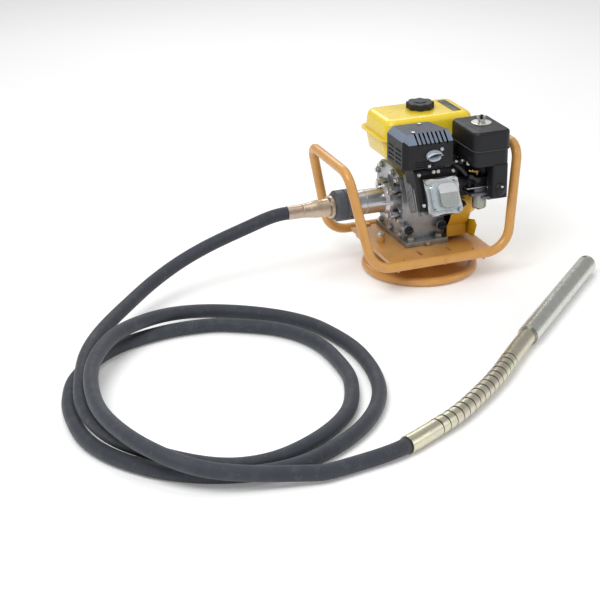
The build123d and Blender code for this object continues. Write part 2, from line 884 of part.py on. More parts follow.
with BuildPart() as muffler_guard:
    with BuildSketch(Plane.YZ.offset(muffler_x[0])):
        with BuildLine():
            Polyline(
                (muffler_y[1], muffler_bottom_z),
                (muffler_y[1], muffler_top_z),
                (guard_bevel_y, muffler_top_z),
                (muffler_y[0], guard_bevel_z),
                (muffler_y[0], muffler_bottom_z),
                close=True,
            )
        make_face()
    extrude(amount=muffler_x[1] - muffler_x[0])
    # right side runs inward toward the back
    with BuildSketch(Plane.XY.offset(muffler_bottom_z)):
        with BuildLine():
            Polyline(
                (muffler_x[1], guard_bevel_y),
                (muffler_x[1] + 5, muffler_y[1] + 5),
                (muffler_x[1] - 21, muffler_y[1] + 5),
                close=True,
            )
        make_face()
    extrude(amount=muffler_top_z - muffler_bottom_z, mode=Mode.SUBTRACT)
    chamfer(faces().sort_by(Axis.X)[0].edges().filter_by(Axis.Y).sort_by(Axis.Z)[-1], 14)
    chamfer(edges().filter_by(Axis.Z).group_by(Axis.Y)[0].sort_by(Axis.X)[0], 12)
    offset(amount=-sheet, openings=faces().sort_by(Axis.Z)[0])
    # slots over the bevel
    for slot in range(8):
        with BuildSketch(Plane.YZ.offset(-62 + slot * 11)):
            with BuildLine():
                Polyline((-90, 392), (-90, 374), (-112, 356), (-122, 364), close=True)
            make_face()
        extrude(amount=4.5, mode=Mode.SUBTRACT)
    # side louvres, rear face left open below the tank
    for row in range(4):
        with Locations(*[(muffler_x[0], y, 345 - row * 11) for y in (-80, -38)]):
            Box(8, 32, 4, mode=Mode.SUBTRACT)
        with Locations(*[(muffler_x[1] - 12, y, 345 - row * 11) for y in (-74, -38)]):
            Box(32, 28, 4, mode=Mode.SUBTRACT)
    for row in range(3):
        with Locations((-42, muffler_y[0], 318 - row * 6)):
            Box(50, 8, 2.5, mode=Mode.SUBTRACT)
    with BuildSketch(Plane.XZ.offset(-muffler_y[0] - 5)):
        with Locations(outlet_at):
            Ellipse(18.5, 12.5)
    extrude(amount=10, mode=Mode.SUBTRACT)
    for x, y in guard_screws_at:
        with Locations((x, y, muffler_top_z - 5)):
            Cylinder(2.6, 10, align=(Align.CENTER, Align.CENTER, Align.MIN), mode=Mode.SUBTRACT)
save(muffler_guard, "muffler_guard")

with BuildPart() as guard_screws:
    with Locations(*[(x, y, muffler_top_z) for x, y in guard_screws_at]):
        Cylinder(5, 2.4, align=(Align.CENTER, Align.CENTER, Align.MIN))
    with Locations(*[(x, y, muffler_top_z - 14) for x, y in guard_screws_at]):
        Cylinder(2.5, 15, align=(Align.CENTER, Align.CENTER, Align.MIN))
save(guard_screws, "guard_screws")

with BuildPart() as exhaust_outlet:
    with BuildSketch(Plane.XZ.offset(93)):
        with Locations(outlet_at):
            Ellipse(17, 11)
            Ellipse(15.5, 9.5, mode=Mode.SUBTRACT)
    extrude(amount=31)
    with BuildSketch(Plane.YZ.offset(outlet_at[0] - 20)):
        with BuildLine():
            Polyline((-126, 320), (-126, 340), (-116, 320), close=True)
        make_face()
    extrude(amount=40, mode=Mode.SUBTRACT)
save(exhaust_outlet, "exhaust_outlet")

# ================================================================ air cleaner
stud_at = (121.0, -84.0)
air_mid = ((air_x[0] + air_x[1]) / 2, (air_y[0] + air_y[1]) / 2)
air_w = air_x[1] - air_x[0]
air_l = air_y[1] - air_y[0]
air_floor = 301.0
elbow_x = 138.0
resonator_at = (138.0, -145.5)
with BuildPart() as air_base:
    with BuildSketch(Plane.XY.offset(air_floor)):
        with Locations(air_mid):
            RectangleRounded(air_w - 5, air_l - 5, 16)
    extrude(amount=air_seam_z - air_floor)
    with BuildSketch(Plane.XY.offset(air_floor + 4)):
        with Locations(air_mid):
            RectangleRounded(air_w - 11, air_l - 11, 13)
    extrude(amount=60, mode=Mode.SUBTRACT)
    # resonator box under the front corner
    with BuildSketch(Plane.XY.offset(217)):
        with Locations(resonator_at):
            RectangleRounded(41, 34, 7)
    extrude(amount=air_floor - 217)
    with BuildSketch(Plane.XY.offset(221)):
        with Locations(resonator_at):
            RectangleRounded(35, 28, 4)
    extrude(amount=76, mode=Mode.SUBTRACT)
    # elbow down to the carburettor
    with BuildLine() as elbow_line:
        l1 = Line((124, carb_y, carb_z), (124.5, carb_y, carb_z))
        a1 = TangentArc((124.5, carb_y, carb_z), (elbow_x, carb_y, carb_z + 13.5), tangent=(1, 0, 0))
        Line(a1 @ 1, (elbow_x, carb_y, air_floor + 1))
    with BuildSketch(Plane(origin=(124, carb_y, carb_z), z_dir=(1, 0, 0))):
        Circle(12)
    sweep(path=elbow_line.line)
    with BuildLine(mode=Mode.PRIVATE) as bore_line:
        Line((124, carb_y, carb_z), (124.5, carb_y, carb_z))
        a2 = TangentArc((124.5, carb_y, carb_z), (elbow_x, carb_y, carb_z + 13.5), tangent=(1, 0, 0))
        Line(a2 @ 1, (elbow_x, carb_y, air_floor + 6))
    with BuildSketch(Plane(origin=(124, carb_y, carb_z), z_dir=(1, 0, 0))):
        Circle(9.5)
    sweep(path=bore_line.line, mode=Mode.SUBTRACT)
    # stud for the wing nut
    with Locations((stud_at[0], stud_at[1], air_floor + 1)):
        Cylinder(3, 406 - air_floor, align=(Align.CENTER, Align.CENTER, Align.MIN))
save(air_base, "air_base")

with BuildPart() as filter_element:
    with BuildSketch(Plane.XY.offset(air_floor + 6)):
        with Locations(stud_at):
            RectangleRounded(62, 100, 14)
            RectangleRounded(36, 74, 6, mode=Mode.SUBTRACT)
    extrude(amount=70)
save(filter_element, "filter_element")

with BuildPart() as air_cover:
    with BuildSketch(Plane.XY.offset(air_seam_z + 0.4)):
        with Locations(air_mid):
            RectangleRounded(air_w, air_l, 18)
    extrude(amount=air_top_z - air_seam_z - 0.4)
    fillet(faces().sort_by(Axis.Z)[-1].edges(), 8)
    offset(amount=-2.2, openings=faces().sort_by(Axis.Z)[0])
    with Locations((stud_at[0], stud_at[1], air_top_z - 6)):
        Cylinder(3.6, 12, align=(Align.CENTER, Align.CENTER, Align.MIN), mode=Mode.SUBTRACT)
save(air_cover, "air_cover")

with BuildPart() as wing_nut:
    with Locations((stud_at[0], stud_at[1], air_top_z + 0.1)):
        Cylinder(25, 1.6, align=(Align.CENTER, Align.CENTER, Align.MIN))
    fillet(edges().sort_by(Axis.Z)[-1], 0.8)
    with Locations((stud_at[0], stud_at[1], air_top_z + 1)):
        Cone(6.5, 5, 8, align=(Align.CENTER, Align.CENTER, Align.MIN))
    with BuildSketch(Plane.XZ.offset(-stud_at[1] - 1.6)):
        for side in (-1, 1):
            with Locations(Location((stud_at[0] + side * 7.5, air_top_z + 10), -side * 24)):
                Ellipse(3.8, 7)
    extrude(amount=3.2)
    with Locations((stud_at[0], stud_at[1], air_top_z - 1)):
        Cylinder(3.1, 30, align=(Align.CENTER, Align.CENTER, Align.MIN), mode=Mode.SUBTRACT)
save(wing_nut, "wing_nut")

# ================================================================ carburettor
bowl_x = 111.0
choke_at = (96.0, carb_z + 6)
tap_at = (130.0, carb_z - 41)
carb_line = Plane(origin=(0, carb_y, carb_z), x_dir=(0, 1, 0), z_dir=(1, 0, 0))
with BuildPart() as carburetor:
    with BuildSketch(carb_line.offset(45)):
        RectangleRounded(44, 34, 6)
    extrude(amount=8)
    with BuildSketch(carb_line.offset(45)):
        Circle(14)
    extrude(amount=79)
    with BuildSketch(carb_line.offset(72)):
        RectangleRounded(36, 30, 8)
    extrude(amount=6)
    with BuildSketch(Plane.XY.offset(carb_z - 28)):
        with Locations((106, carb_y)):
            RectangleRounded(36, 38, 4)
    extrude(amount=40)
    with BuildSketch(Plane.XY.offset(carb_z - 34)):
        with Locations((106, carb_y)):
            RectangleRounded(56, 46, 4)
    extrude(amount=7)
    with Locations((tap_at[0], -119, tap_at[1])):
        Box(13, 14, 14)
    with BuildSketch(carb_line.offset(45)):
        Circle(9)
    extrude(amount=90, mode=Mode.SUBTRACT)
    # throttle stop screw and idle jet
    with Locations((98, carb_y, carb_z + 12)):
        Cylinder(4, 12, align=(Align.CENTER, Align.CENTER, Align.MIN))
    with Locations((112, carb_y - 8, carb_z + 12)):
        Cylinder(3, 9, align=(Align.CENTER, Align.CENTER, Align.MIN))
    with BuildSketch(Plane.XZ.offset(110)):
        with Locations(choke_at, tap_at):
            Circle(2.6)
    extrude(amount=30, mode=Mode.SUBTRACT)
save(carburetor, "carburetor")

with BuildPart() as float_bowl:
    with Locations((bowl_x, carb_y, carb_z - 72)):
        Cylinder(18, 38, align=(Align.CENTER, Align.CENTER, Align.MIN))
    fillet(edges().sort_by(Axis.Z)[0], 5)
    with Locations((bowl_x, carb_y, carb_z - 38)):
        Cylinder(20.5, 4, align=(Align.CENTER, Align.CENTER, Align.MIN))
    with Locations((bowl_x, carb_y, carb_z - 68)):
        Cylinder(16, 40, align=(Align.CENTER, Align.CENTER, Align.MIN), mode=Mode.SUBTRACT)
    with BuildSketch(Plane.XY.offset(carb_z - 77)):
        with Locations((bowl_x, carb_y)):
            RegularPolygon(6, 6)
    extrude(amount=6)
    with Locations((tap_at[0], -119, tap_at[1])):
        Box(14, 15, 17, mode=Mode.SUBTRACT)
save(float_bowl, "float_bowl")

with BuildPart() as choke_lever:
    with BuildSketch(Plane.XZ.offset(123.3)):
        with Locations(choke_at):
            Circle(6)
        with Locations(Location((86, carb_z + 12), -31)):
            SlotOverall(34, 7)
    extrude(amount=2.5)
    with BuildSketch(Plane.XZ.offset(112)):
        with Locations(choke_at):
            Circle(2.5)
    extrude(amount=12)
    with BuildSketch(Plane.XZ.offset(123.3)):
        with Locations((75, carb_z + 18.5)):
            Circle(5)
    extrude(amount=8)
save(choke_lever, "choke_lever")

with BuildPart() as fuel_tap_lever:
    with BuildSketch(Plane.XZ.offset(126.3)):
        with Locations(tap_at):
            Circle(5.5)
        with Locations((119, tap_at[1])):
            SlotOverall(28, 6)
    extrude(amount=3)
    with BuildSketch(Plane.XZ.offset(114)):
        with Locations(tap_at):
            Circle(2.5)
    extrude(amount=13)
save(fuel_tap_lever, "fuel_tap_lever")

throttle_at = (84.0, -34.0)
with BuildPart() as throttle_lever:
    with BuildSketch(Plane.XY.offset(272.4)):
        with Locations(throttle_at):
            Circle(10)
        with Locations((throttle_at[0] + 14, throttle_at[1])):
            SlotOverall(38, 9)
    extrude(amount=2.5)
    with Locations((throttle_at[0], throttle_at[1], 258)):
        Cylinder(3, 20, align=(Align.CENTER, Align.CENTER, Align.MIN))
    with Locations((throttle_at[0] + 28, throttle_at[1], 273.5)):
        Cylinder(5, 11, align=(Align.CENTER, Align.CENTER, Align.MIN))
    fillet(edges().sort_by(Axis.Z)[-1], 1)
save(throttle_lever, "throttle_lever")

with BuildPart() as stop_switch:
    with BuildSketch(Plane.XZ.offset(85.3)):
        with Locations((74, 186)):
            Circle(8.5)
    extrude(amount=3)
    with BuildSketch(Plane.XZ.offset(85.3)):
        with Locations((74, 186)):
            RectangleRounded(16, 6, 2.5)
    extrude(amount=9)
    with BuildSketch(Plane.XZ.offset(74)):
        with Locations((74, 186)):
            Circle(4)
    extrude(amount=12)
save(stop_switch, "stop_switch")

# ================================================================== fuel tank
tank_mid = ((tank_x[0] + tank_x[1]) / 2, (tank_y[0] + tank_y[1]) / 2)
tank_w = tank_x[1] - tank_x[0]
tank_l = tank_y[1] - tank_y[0]


tank_wall = 1.8
tank_shells = []
for inset in (0, tank_wall):
    with BuildPart() as tank_shell:
        with BuildSketch(Plane.XY.offset(tank_rim_z)):
            with Locations(tank_mid):
                RectangleRounded(tank_w - 2 * inset, tank_l - 2 * inset, 30 - inset)
        extrude(amount=tank_top_z - tank_rim_z - inset, taper=9)
        fillet(faces().sort_by(Axis.Z)[-1].edges(), 17 - inset)
        with BuildSketch(Plane.XY.offset(tank_rim_z)):
            with Locations(tank_mid):
                RectangleRounded(tank_w - 2 * inset, tank_l - 2 * inset, 30 - inset)
        extrude(amount=-(tank_rim_z - tank_bottom_z - inset), taper=11)
        fillet(faces().sort_by(Axis.Z)[0].edges(), 12 - inset)
    tank_shells.append(tank_shell.part)

with BuildPart() as fuel_tank:
    add(tank_shells[0])
    # folded seam flange
    with BuildSketch(Plane.XY.offset(tank_rim_z - 2)):
        with Locations(tank_mid):
            RectangleRounded(tank_w + 18, tank_l + 14, 34)
    extrude(amount=4)
    add(tank_shells[1], mode=Mode.SUBTRACT)
    with Locations((cap_at[0], cap_at[1], tank_top_z - 3)):
        Cylinder(27, 5, align=(Align.CENTER, Align.CENTER, Align.MIN))
    with Locations((cap_at[0], cap_at[1], tank_top_z - 10)):
        Cylinder(22, 30, align=(Align.CENTER, Align.CENTER, Align.MIN), mode=Mode.SUBTRACT)
save(fuel_tank, "fuel_tank")

with BuildPart() as fuel_cap:
    with BuildSketch(Plane.XY.offset(tank_top_z + 2.2)):
        with Locations(cap_at):
            Circle(cap_r)
            with PolarLocations(cap_r + 8, 8):
                Circle(12, mode=Mode.SUBTRACT)
        fillet(vertices(), 3)
    extrude(amount=14)
    fillet(faces().sort_by(Axis.Z)[-1].edges(), 3)
    with Locations((cap_at[0], cap_at[1], tank_top_z + 15)):
        Cylinder(15, 3, align=(Align.CENTER, Align.CENTER, Align.MIN))
    with Locations((cap_at[0], cap_at[1], tank_top_z - 8)):
        Cylinder(21.95, 12, align=(Align.CENTER, Align.CENTER, Align.MIN))
save(fuel_cap, "fuel_cap")

# ============================================== ignition, oil and fixing bolts
with BuildPart() as spark_plug:
    with BuildSketch(plug_axis):
        RegularPolygon(11, 6)
    extrude(amount=12)
    with BuildSketch(plug_axis.offset(12)):
        Circle(8)
    extrude(amount=4)
    with BuildSketch(plug_axis.offset(16)):
        Circle(4.5)
    extrude(amount=18)
save(spark_plug, "spark_plug")

with BuildPart() as plug_boot:
    with BuildSketch(plug_axis.offset(18)):
        Circle(8)
    extrude(amount=28)
    fillet(edges(), 2)
    with BuildSketch(plug_axis.offset(17)):
        Circle(4.6)
    extrude(amount=18, mode=Mode.SUBTRACT)
save(plug_boot, "plug_boot")

cap_names = ("oil_filler_cap", "oil_level_cap")
for name, x in zip(cap_names, oil_plug_xs):
    with BuildPart() as oil_cap:
        with BuildSketch(Plane.XZ.offset(44.2)):
            with Locations((x, oil_plug_z)):
                Circle(12)
                with PolarLocations(15, 9):
                    Circle(5, mode=Mode.SUBTRACT)
        extrude(amount=4)
        with BuildSketch(Plane.XZ.offset(48.2)):
            with Locations((x, oil_plug_z)):
                RectangleRounded(18, 6, 2)
        extrude(amount=6)
        with BuildSketch(Plane.XZ.offset(28)):
            with Locations((x, oil_plug_z)):
                Circle(7.9)
        extrude(amount=18)
    save(oil_cap, name)

with BuildPart() as drain_bolt:
    with BuildSketch(Plane.XZ.offset(foot_face)):
        with Locations((foot_x, plate_top + 6.5)):
            Circle(6.4)
    extrude(amount=1.4)
    with BuildSketch(Plane.XZ.offset(foot_face)):
        with Locations((foot_x, plate_top + 6.5)):
            RegularPolygon(5.6, 6)
    extrude(amount=6)
    with BuildSketch(Plane.XZ.offset(foot_face)):
        with Locations((foot_x, plate_top + 6.5)):
            Circle(3.9)
    extrude(amount=-13)
save(drain_bolt, "drain_bolt")

# four bolts through the engine feet and one in the boss beside the engine
foot_holes = [(x, y) for x in foot_xs for y in foot_ys]
bolt_seats = [(x, y, foot_z, 30) for x, y in foot_holes]
bolt_seats.append((boss_at[0], boss_at[1], plate_top + boss_h, 19))
with BuildPart() as mount_bolts:
    for x, y, seat, shank in bolt_seats:
        with BuildSketch(Plane.XY.offset(seat)):
            with Locations((x, y)):
                Circle(9.2)
        extrude(amount=2)
        with BuildSketch(Plane.XY.offset(seat + 2)):
            with Locations((x, y)):
                RegularPolygon(8.6, 6)
        extrude(amount=6)
        with BuildSketch(Plane.XY.offset(seat + 1)):
            with Locations((x, y)):
                Circle(5)
        extrude(amount=-shank)
    with BuildSketch(Plane.XY.offset(plate_top - plate_t)):
        with Locations(*foot_holes):
            RegularPolygon(8.6, 6)
    extrude(amount=-8)
save(mount_bolts, "mount_bolts")

# ================================================================ drive head
shoe_x0 = -138.0
shoe_x1 = -118.0
bearing_xs = (-160.0, -216.0)
seat_r = 17.5
with BuildPart() as adapter_housing:
    with BuildSketch(Plane.XY):
        with BuildLine():
            Polyline(
                (adapter_flange_x, 38),
                (adapter_flange_x - 8, 38),
                (adapter_flange_x - 16, adapter_r),
                (-142, adapter_r),
                (-143, adapter_r - 1),
                (-144, adapter_r),
                (adapter_end_x + 2, adapter_r),
                (adapter_end_x, adapter_r - 2),
                (adapter_end_x, 13),
                (adapter_end_x + 5, 13),
                (adapter_end_x + 5, seat_r),
                (-149, seat_r),
                (-149, adapter_bore_r),
                (adapter_flange_x, adapter_bore_r),
                close=True,
            )
        make_face()
    revolve(axis=Axis.X)
    with BuildSketch(Plane.YZ.offset(adapter_flange_x)):
        for corner in range(4):
            with Locations(Location((0, 0), corner * 90 + 45)):
                with Locations((adapter_bolt_r - 8, 0)):
                    SlotOverall(38, 19)
        Circle(adapter_bore_r, mode=Mode.SUBTRACT)
    extrude(amount=-8)
    for rib in range(4):
        with BuildSketch(Plane.XY.rotated((rib * 90, 0, 0)).offset(-2)):
            with BuildLine():
                Polyline((-84, 30.5), (-84, 37.5), (-112, 30.5), close=True)
            make_face()
        extrude(amount=4)
    with BuildSketch(Plane.YZ.offset(adapter_flange_x)):
        for corner in range(4):
            with Locations(Location((0, 0), corner * 90 + 45)):
                with Locations((adapter_bolt_r, 0)):
                    Circle(4.05)
    extrude(amount=-12, mode=Mode.SUBTRACT)
adapter_housing.part = adapter_housing.part.moved(Location((0, crank_y, crank_z)))
save(adapter_housing, "adapter_housing")

with BuildPart() as adapter_bolts:
    for corner in range(4):
        turn = math.radians(corner * 90 + 45)
        at = (adapter_bolt_r * math.cos(turn), adapter_bolt_r * math.sin(turn))
        with BuildSketch(crank_end.offset(adapter_flange_x - 8)):
            with Locations(at):
                Circle(8)
        extrude(amount=-1.6)
        with BuildSketch(crank_end.offset(adapter_flange_x - 8)):
            with Locations(at):
                RegularPolygon(6.6, 6)
        extrude(amount=-7)
        with BuildSketch(crank_end.offset(adapter_flange_x - 8)):
            with Locations(at):
                Circle(4)
        extrude(amount=20)
save(adapter_bolts, "adapter_bolts")

with BuildPart() as clutch_hub:
    with BuildSketch(crank_end.offset(shoe_x0)):
        Circle(13)
        with PolarLocations(14, 2):
            Rectangle(14, 6)
        Circle(9.5, mode=Mode.SUBTRACT)
    extrude(amount=shoe_x1 - shoe_x0)
save(clutch_hub, "clutch_hub")

with BuildPart() as clutch_shoes:
    for side in (0, 180):
        with BuildSketch(crank_end.offset(shoe_x0)):
            with BuildLine():
                a = CenterArc((0, 0), 22.2, side + 18, 144)
                b = CenterArc((0, 0), 14, side + 32, 116)
                Line(a @ 0, b @ 0)
                Line(a @ 1, b @ 1)
            make_face()
        extrude(amount=shoe_x1 - shoe_x0)
save(clutch_shoes, "clutch_shoes")

with BuildPart() as clutch_spring:
    with BuildSketch(Plane.XY):
        with Locations((shoe_x1 + 1.2, 18)):
            Circle(1)
    revolve(axis=Axis.X)
clutch_spring.part = clutch_spring.part.moved(Location((0, crank_y, crank_z)))
save(clutch_spring, "clutch_spring")

with BuildPart() as clutch_drum:
    with BuildSketch(Plane.XY):
        with BuildLine():
            Polyline(
                (core_end_x, 0),
                (core_end_x, core_r),
                (-228, core_r),
                (-228, output_r),
                (-147, output_r),
                (-147, drum_out_r),
                (-114, drum_out_r),
                (-114, drum_in_r),
                (-142, drum_in_r),
                (-142, 0),
                close=True,
            )
        make_face()
    revolve(axis=Axis.X)
clutch_drum.part = clutch_drum.part.moved(Location((0, crank_y, crank_z)))
save(clutch_drum, "clutch_drum")

with BuildPart() as drum_bearings:
    for face in bearing_xs:
        with BuildSketch(crank_end.offset(face)):
            Circle(seat_r)
            Circle(output_r + run_fit, mode=Mode.SUBTRACT)
        extrude(amount=10)
save(drum_bearings, "drum_bearings")

with BuildPart() as coupling_collar:
    with BuildSketch(Plane.XY):
        with BuildLine():
            Polyline(
                (collar_x0, adapter_r + 0.1),
                (collar_x0, collar_r - 2),
                (collar_x0 - 2, collar_r),
                (-196, collar_r),
                (-197, collar_r - 2),
                (-199, collar_r - 2),
                (-200, collar_r),
                (collar_x1 + 7, collar_r),
                (collar_x1, collar_r - 6),
                (collar_x1, 13),
                (adapter_end_x - 0.2, 13),
                (adapter_end_x - 0.2, adapter_r + 0.1),
                close=True,
            )
        make_face()
    revolve(axis=Axis.X)
    with BuildSketch(Plane.YZ.offset(collar_x0)):
        with PolarLocations(collar_r + 1, 10):
            SlotOverall(8, 7)
    extrude(amount=-24, mode=Mode.SUBTRACT)
coupling_collar.part = coupling_collar.part.moved(Location((0, crank_y, crank_z)))
save(coupling_collar, "coupling_collar")

with BuildPart() as hose_sleeve:
    with BuildSketch(Plane.XY):
        with BuildLine():
            Polyline(
                (collar_x1 - 0.2, 9),
                (collar_x1 - 0.2, 28),
                (sleeve_start_x, 28),
                (sleeve_start_x, 22.5),
                (-262, 22),
            )
            Spline((-262, 22), (-292, 18.4), (sleeve_end_x, 16.9), tangents=((-1, 0), (-1, -0.02)))
            Polyline(
                (sleeve_end_x, 16.9),
                (sleeve_end_x, 0),
                (core_end_x - 4, 0),
                (core_end_x - 4, 9),
                (collar_x1 - 0.2, 9),
            )
        make_face()
    revolve(axis=Axis.X)
    for groove in range(4):
        with BuildSketch(Plane.XY):
            with Locations((-304 - groove * 8, 18.6)):
                Circle(1.4)
        revolve(axis=Axis.X, mode=Mode.SUBTRACT)
hose_sleeve.part = hose_sleeve.part.moved(Location((0, crank_y, crank_z)))
save(hose_sleeve, "hose_sleeve")

# ====================================================================== hose
# Centre line: off the coupling, two and three quarter coils, out to the poker.
hose_points = (
    (sleeve_end_x, crank_y, crank_z),
    (-430, 32, 164),
    (-520, 40, 132),
    (-610, 32, 100),
    (-690, -4, 76),
    (-768, -72, 62),
    (-862, -180, 55),
    (-926, -285, 54),
    (-964, -385, 49),
    (-990, -495, 43),
    (-988, -590, 41),
    (-962, -672, 39),
    (-915, -735, 35),
    (-855, -785, 27),
    (-777, -820, 18),
    (-700, -828, 17),
    (-630, -808, 17),
    (-551, -763, 17),
    (-468, -678, 17),
    (-428, -590, 17),
    (-410, -480, 17),
    (-422, -350, 17),
    (-476, -258, 17),
    (-569, -195, 17),
    (-661, -172, 17),
    (-761, -181, 17),
    (-870, -228, 17),
    (-958, -320, 17),
    (-1004, -430, 17),
    (-1016, -528, 17),
    (-1013, -600, 17),
    (-992, -670, 17),
    (-935, -758, 17),
    (-870, -815, 17),
    (-780, -856, 17),
    (-680, -868, 17),
    (-580, -838, 17),
    (-468, -760, 17),
    (-379, -626, 17),
    (-351, -480, 17),
    (-377, -305, 17),
    (-438, -203, 17),
    (-518, -142, 19),
    (-600, -122, 28),
    (-690, -136, 42),
    (-770, -178, 55),
    (-850, -245, 66),
    (-910, -330, 71),
    (-950, -420, 72),
    (-972, -520, 74),
    (-979, -610, 78),
    (-968, -698, 80),
    (-932, -788, 74),
    (-865, -860, 57),
    (-770, -892, 38),
    (-640, -914, 22),
    (-545, -905, 18),
    (-428, -878, 19.5),
)
guard_points = (
    (-428, -878, 19.5),
    (-348, -838, 20.5),
    (-285, -803, 21),
    (-216, -753, 22),
    (-162, -709, 22.5),
    (-109, -661, 23.5),
    (-49, -600, 24),
)
neck_len = 45.0
guard_lead = (0.905, 0.425, 0)
guard_end = poker.from_local_coords(Vector(0, 0, -neck_len))

with BuildLine() as guard_line:
    Spline(*guard_points, tuple(guard_end), tangents=(guard_lead, poker_dir))
    Line(tuple(guard_end), (poker_base[0], poker_base[1], poker_r))

# solid rubber hose, swept in short runs that share their end tangents
run_len = 4
last_point = len(hose_points) - 1
run_starts = range(0, last_point, run_len)
with BuildPart() as hose:
    lead = Vector(-1, 0, 0)
    for first in run_starts:
        last = min(first + run_len, last_point)
        if last < last_point:
            trail = (Vector(hose_points[last + 1]) - Vector(hose_points[last - 1])).normalized()
        else:
            trail = Vector(guard_lead)
        with BuildLine() as run_line:
            Spline(*hose_points[first : last + 1], tangents=(lead, trail))
        with BuildSketch(Plane(origin=hose_points[first], z_dir=lead)):
            Circle(hose_r)
        sweep(path=run_line.wires()[0])
        lead = trail
    with BuildLine() as run_line:
        Spline(*guard_points, tuple(guard_end), tangents=(guard_lead, poker_dir))
    with BuildSketch(Plane(origin=guard_points[0], z_dir=guard_lead)):
        Circle(hose_r)
    sweep(path=run_line.wires()[0])
save(hose, "hose")

guard_wire = guard_line.wires()[0]
slit_from = 0.16
slit_to = 0.76
with BuildPart() as guard_cutters:
    for slit in range(guard_slits):
        along = slit_from + (slit_to - slit_from) * slit / (guard_slits - 1)
        at = guard_wire.position_at(along)
        lean = guard_wire.tangent_at(along).rotate(Axis.Z, 8)
        with BuildSketch(Plane(origin=at, x_dir=(0, 0, 1), z_dir=lean)):
            Circle(guard_out_r + 3)
            with Locations((-guard_out_r, 0)):
                Rectangle(12, 14, mode=Mode.SUBTRACT)
        extrude(amount=guard_slit / 2, both=True)

with BuildPart() as spring_guard:
    with BuildSketch(Plane(origin=guard_points[0], z_dir=guard_lead)):
        Circle(guard_out_r)
        Circle(guard_in_r, mode=Mode.SUBTRACT)
    sweep(path=guard_wire)
    add(guard_cutters.part, mode=Mode.SUBTRACT)
save(spring_guard, "spring_guard")

# ===================================================================== poker
tip_len = 36.0
tube_len = poker_len - tip_len
bearing_len = 14.0
rotor_bearing_at = (40.0, tube_len - bearing_len - 11)
rotor_from = 34.0
bore = poker_r - poker_wall
with BuildPart() as poker_tube:
    with BuildSketch(poker):
        Circle(poker_r - 2.5)
    extrude(amount=4)
    with BuildSketch(poker.offset(4)):
        Circle(poker_r)
    extrude(amount=tube_len - 4)
    with BuildSketch(poker.offset(12)):
        Circle(bore)
    extrude(amount=tube_len - 12, mode=Mode.SUBTRACT)
    with BuildSketch(poker):
        Circle(guard_in_r - 0.1)
    extrude(amount=12, mode=Mode.SUBTRACT)
save(poker_tube, "poker_tube")

with BuildPart() as poker_neck:
    with BuildSketch(poker.offset(-neck_len + 0.2)):
        Circle(guard_in_r - 0.1)
    extrude(amount=neck_len + 16)
    with BuildSketch(poker.offset(12)):
        Circle(bore)
    extrude(amount=8)
    with BuildSketch(poker.offset(-neck_len + 6)):
        Circle(core_r + 1)
    extrude(amount=neck_len + 20, mode=Mode.SUBTRACT)
save(poker_neck, "poker_neck")

with BuildPart() as poker_tip:
    with BuildSketch(poker.offset(tube_len)):
        Circle(poker_r)
    extrude(amount=tip_len)
    fillet(edges().sort_by(Axis((0, 0, 0), poker_dir))[-1], 15)
    with BuildSketch(poker.offset(tube_len)):
        Circle(bore)
    extrude(amount=-10)
    # spanner flats
    for side in (-1, 1):
        with Locations(poker.offset(tube_len + 12)):
            with Locations((0, side * (poker_r + 3.5), 0)):
                Box(40, 12, 16, mode=Mode.SUBTRACT)
save(poker_tip, "poker_tip")

with BuildPart() as poker_bearings:
    for at in rotor_bearing_at:
        with BuildSketch(poker.offset(at)):
            Circle(bore)
            Circle(output_r + run_fit, mode=Mode.SUBTRACT)
        extrude(amount=bearing_len)
save(poker_bearings, "poker_bearings")

weight_from = rotor_bearing_at[0] + bearing_len + 6
weight_to = rotor_bearing_at[1] - 6
with BuildPart() as eccentric_rotor:
    # end of the flexible shaft
    with BuildSketch(poker.offset(-neck_len + 8)):
        Circle(core_r)
    extrude(amount=rotor_from + neck_len - 8)
    with BuildSketch(poker.offset(rotor_from)):
        Circle(output_r)
    extrude(amount=tube_len - 10.5 - rotor_from)
    with BuildSketch(poker.offset(weight_from)):
        Circle(16)
        with Locations((-12, 0)):
            Rectangle(20, 40, mode=Mode.SUBTRACT)
    extrude(amount=weight_to - weight_from)
save(eccentric_rotor, "eccentric_rotor")
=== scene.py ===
import math

import bmesh
import bpy
import numpy as np
from mathutils import Matrix, Vector


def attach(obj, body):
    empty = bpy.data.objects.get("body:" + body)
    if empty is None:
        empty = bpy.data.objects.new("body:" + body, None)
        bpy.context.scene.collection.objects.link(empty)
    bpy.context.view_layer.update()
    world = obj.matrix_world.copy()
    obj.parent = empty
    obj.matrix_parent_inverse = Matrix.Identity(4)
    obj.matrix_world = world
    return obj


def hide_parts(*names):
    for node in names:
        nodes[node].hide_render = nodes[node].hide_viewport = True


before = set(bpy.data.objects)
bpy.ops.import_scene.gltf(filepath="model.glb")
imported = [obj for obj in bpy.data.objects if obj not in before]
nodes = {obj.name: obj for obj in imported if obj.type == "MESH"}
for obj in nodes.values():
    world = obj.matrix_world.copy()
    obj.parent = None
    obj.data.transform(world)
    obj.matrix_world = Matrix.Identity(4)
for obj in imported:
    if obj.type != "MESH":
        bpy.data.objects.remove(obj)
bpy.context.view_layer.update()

MM = 0.001

# the engine's layout in millimetres: cylinder axis, head and valve cover
cylinder_base = (-8, 25, 184)
tilt = math.radians(25)
cylinder_z = Vector((0, -math.cos(tilt), math.sin(tilt)))
head_top = 163.0
cover_at = (7.0, -24.0)
cover_w = 90.0
# the cover's flange and the height of its dome and panel, along the cylinder in metres
cover_flange_at = 0.2218
cover_rise = 0.0233
# the carburettor is painted near-black as shade above this height, in metres
carb_shade_line = 0.232


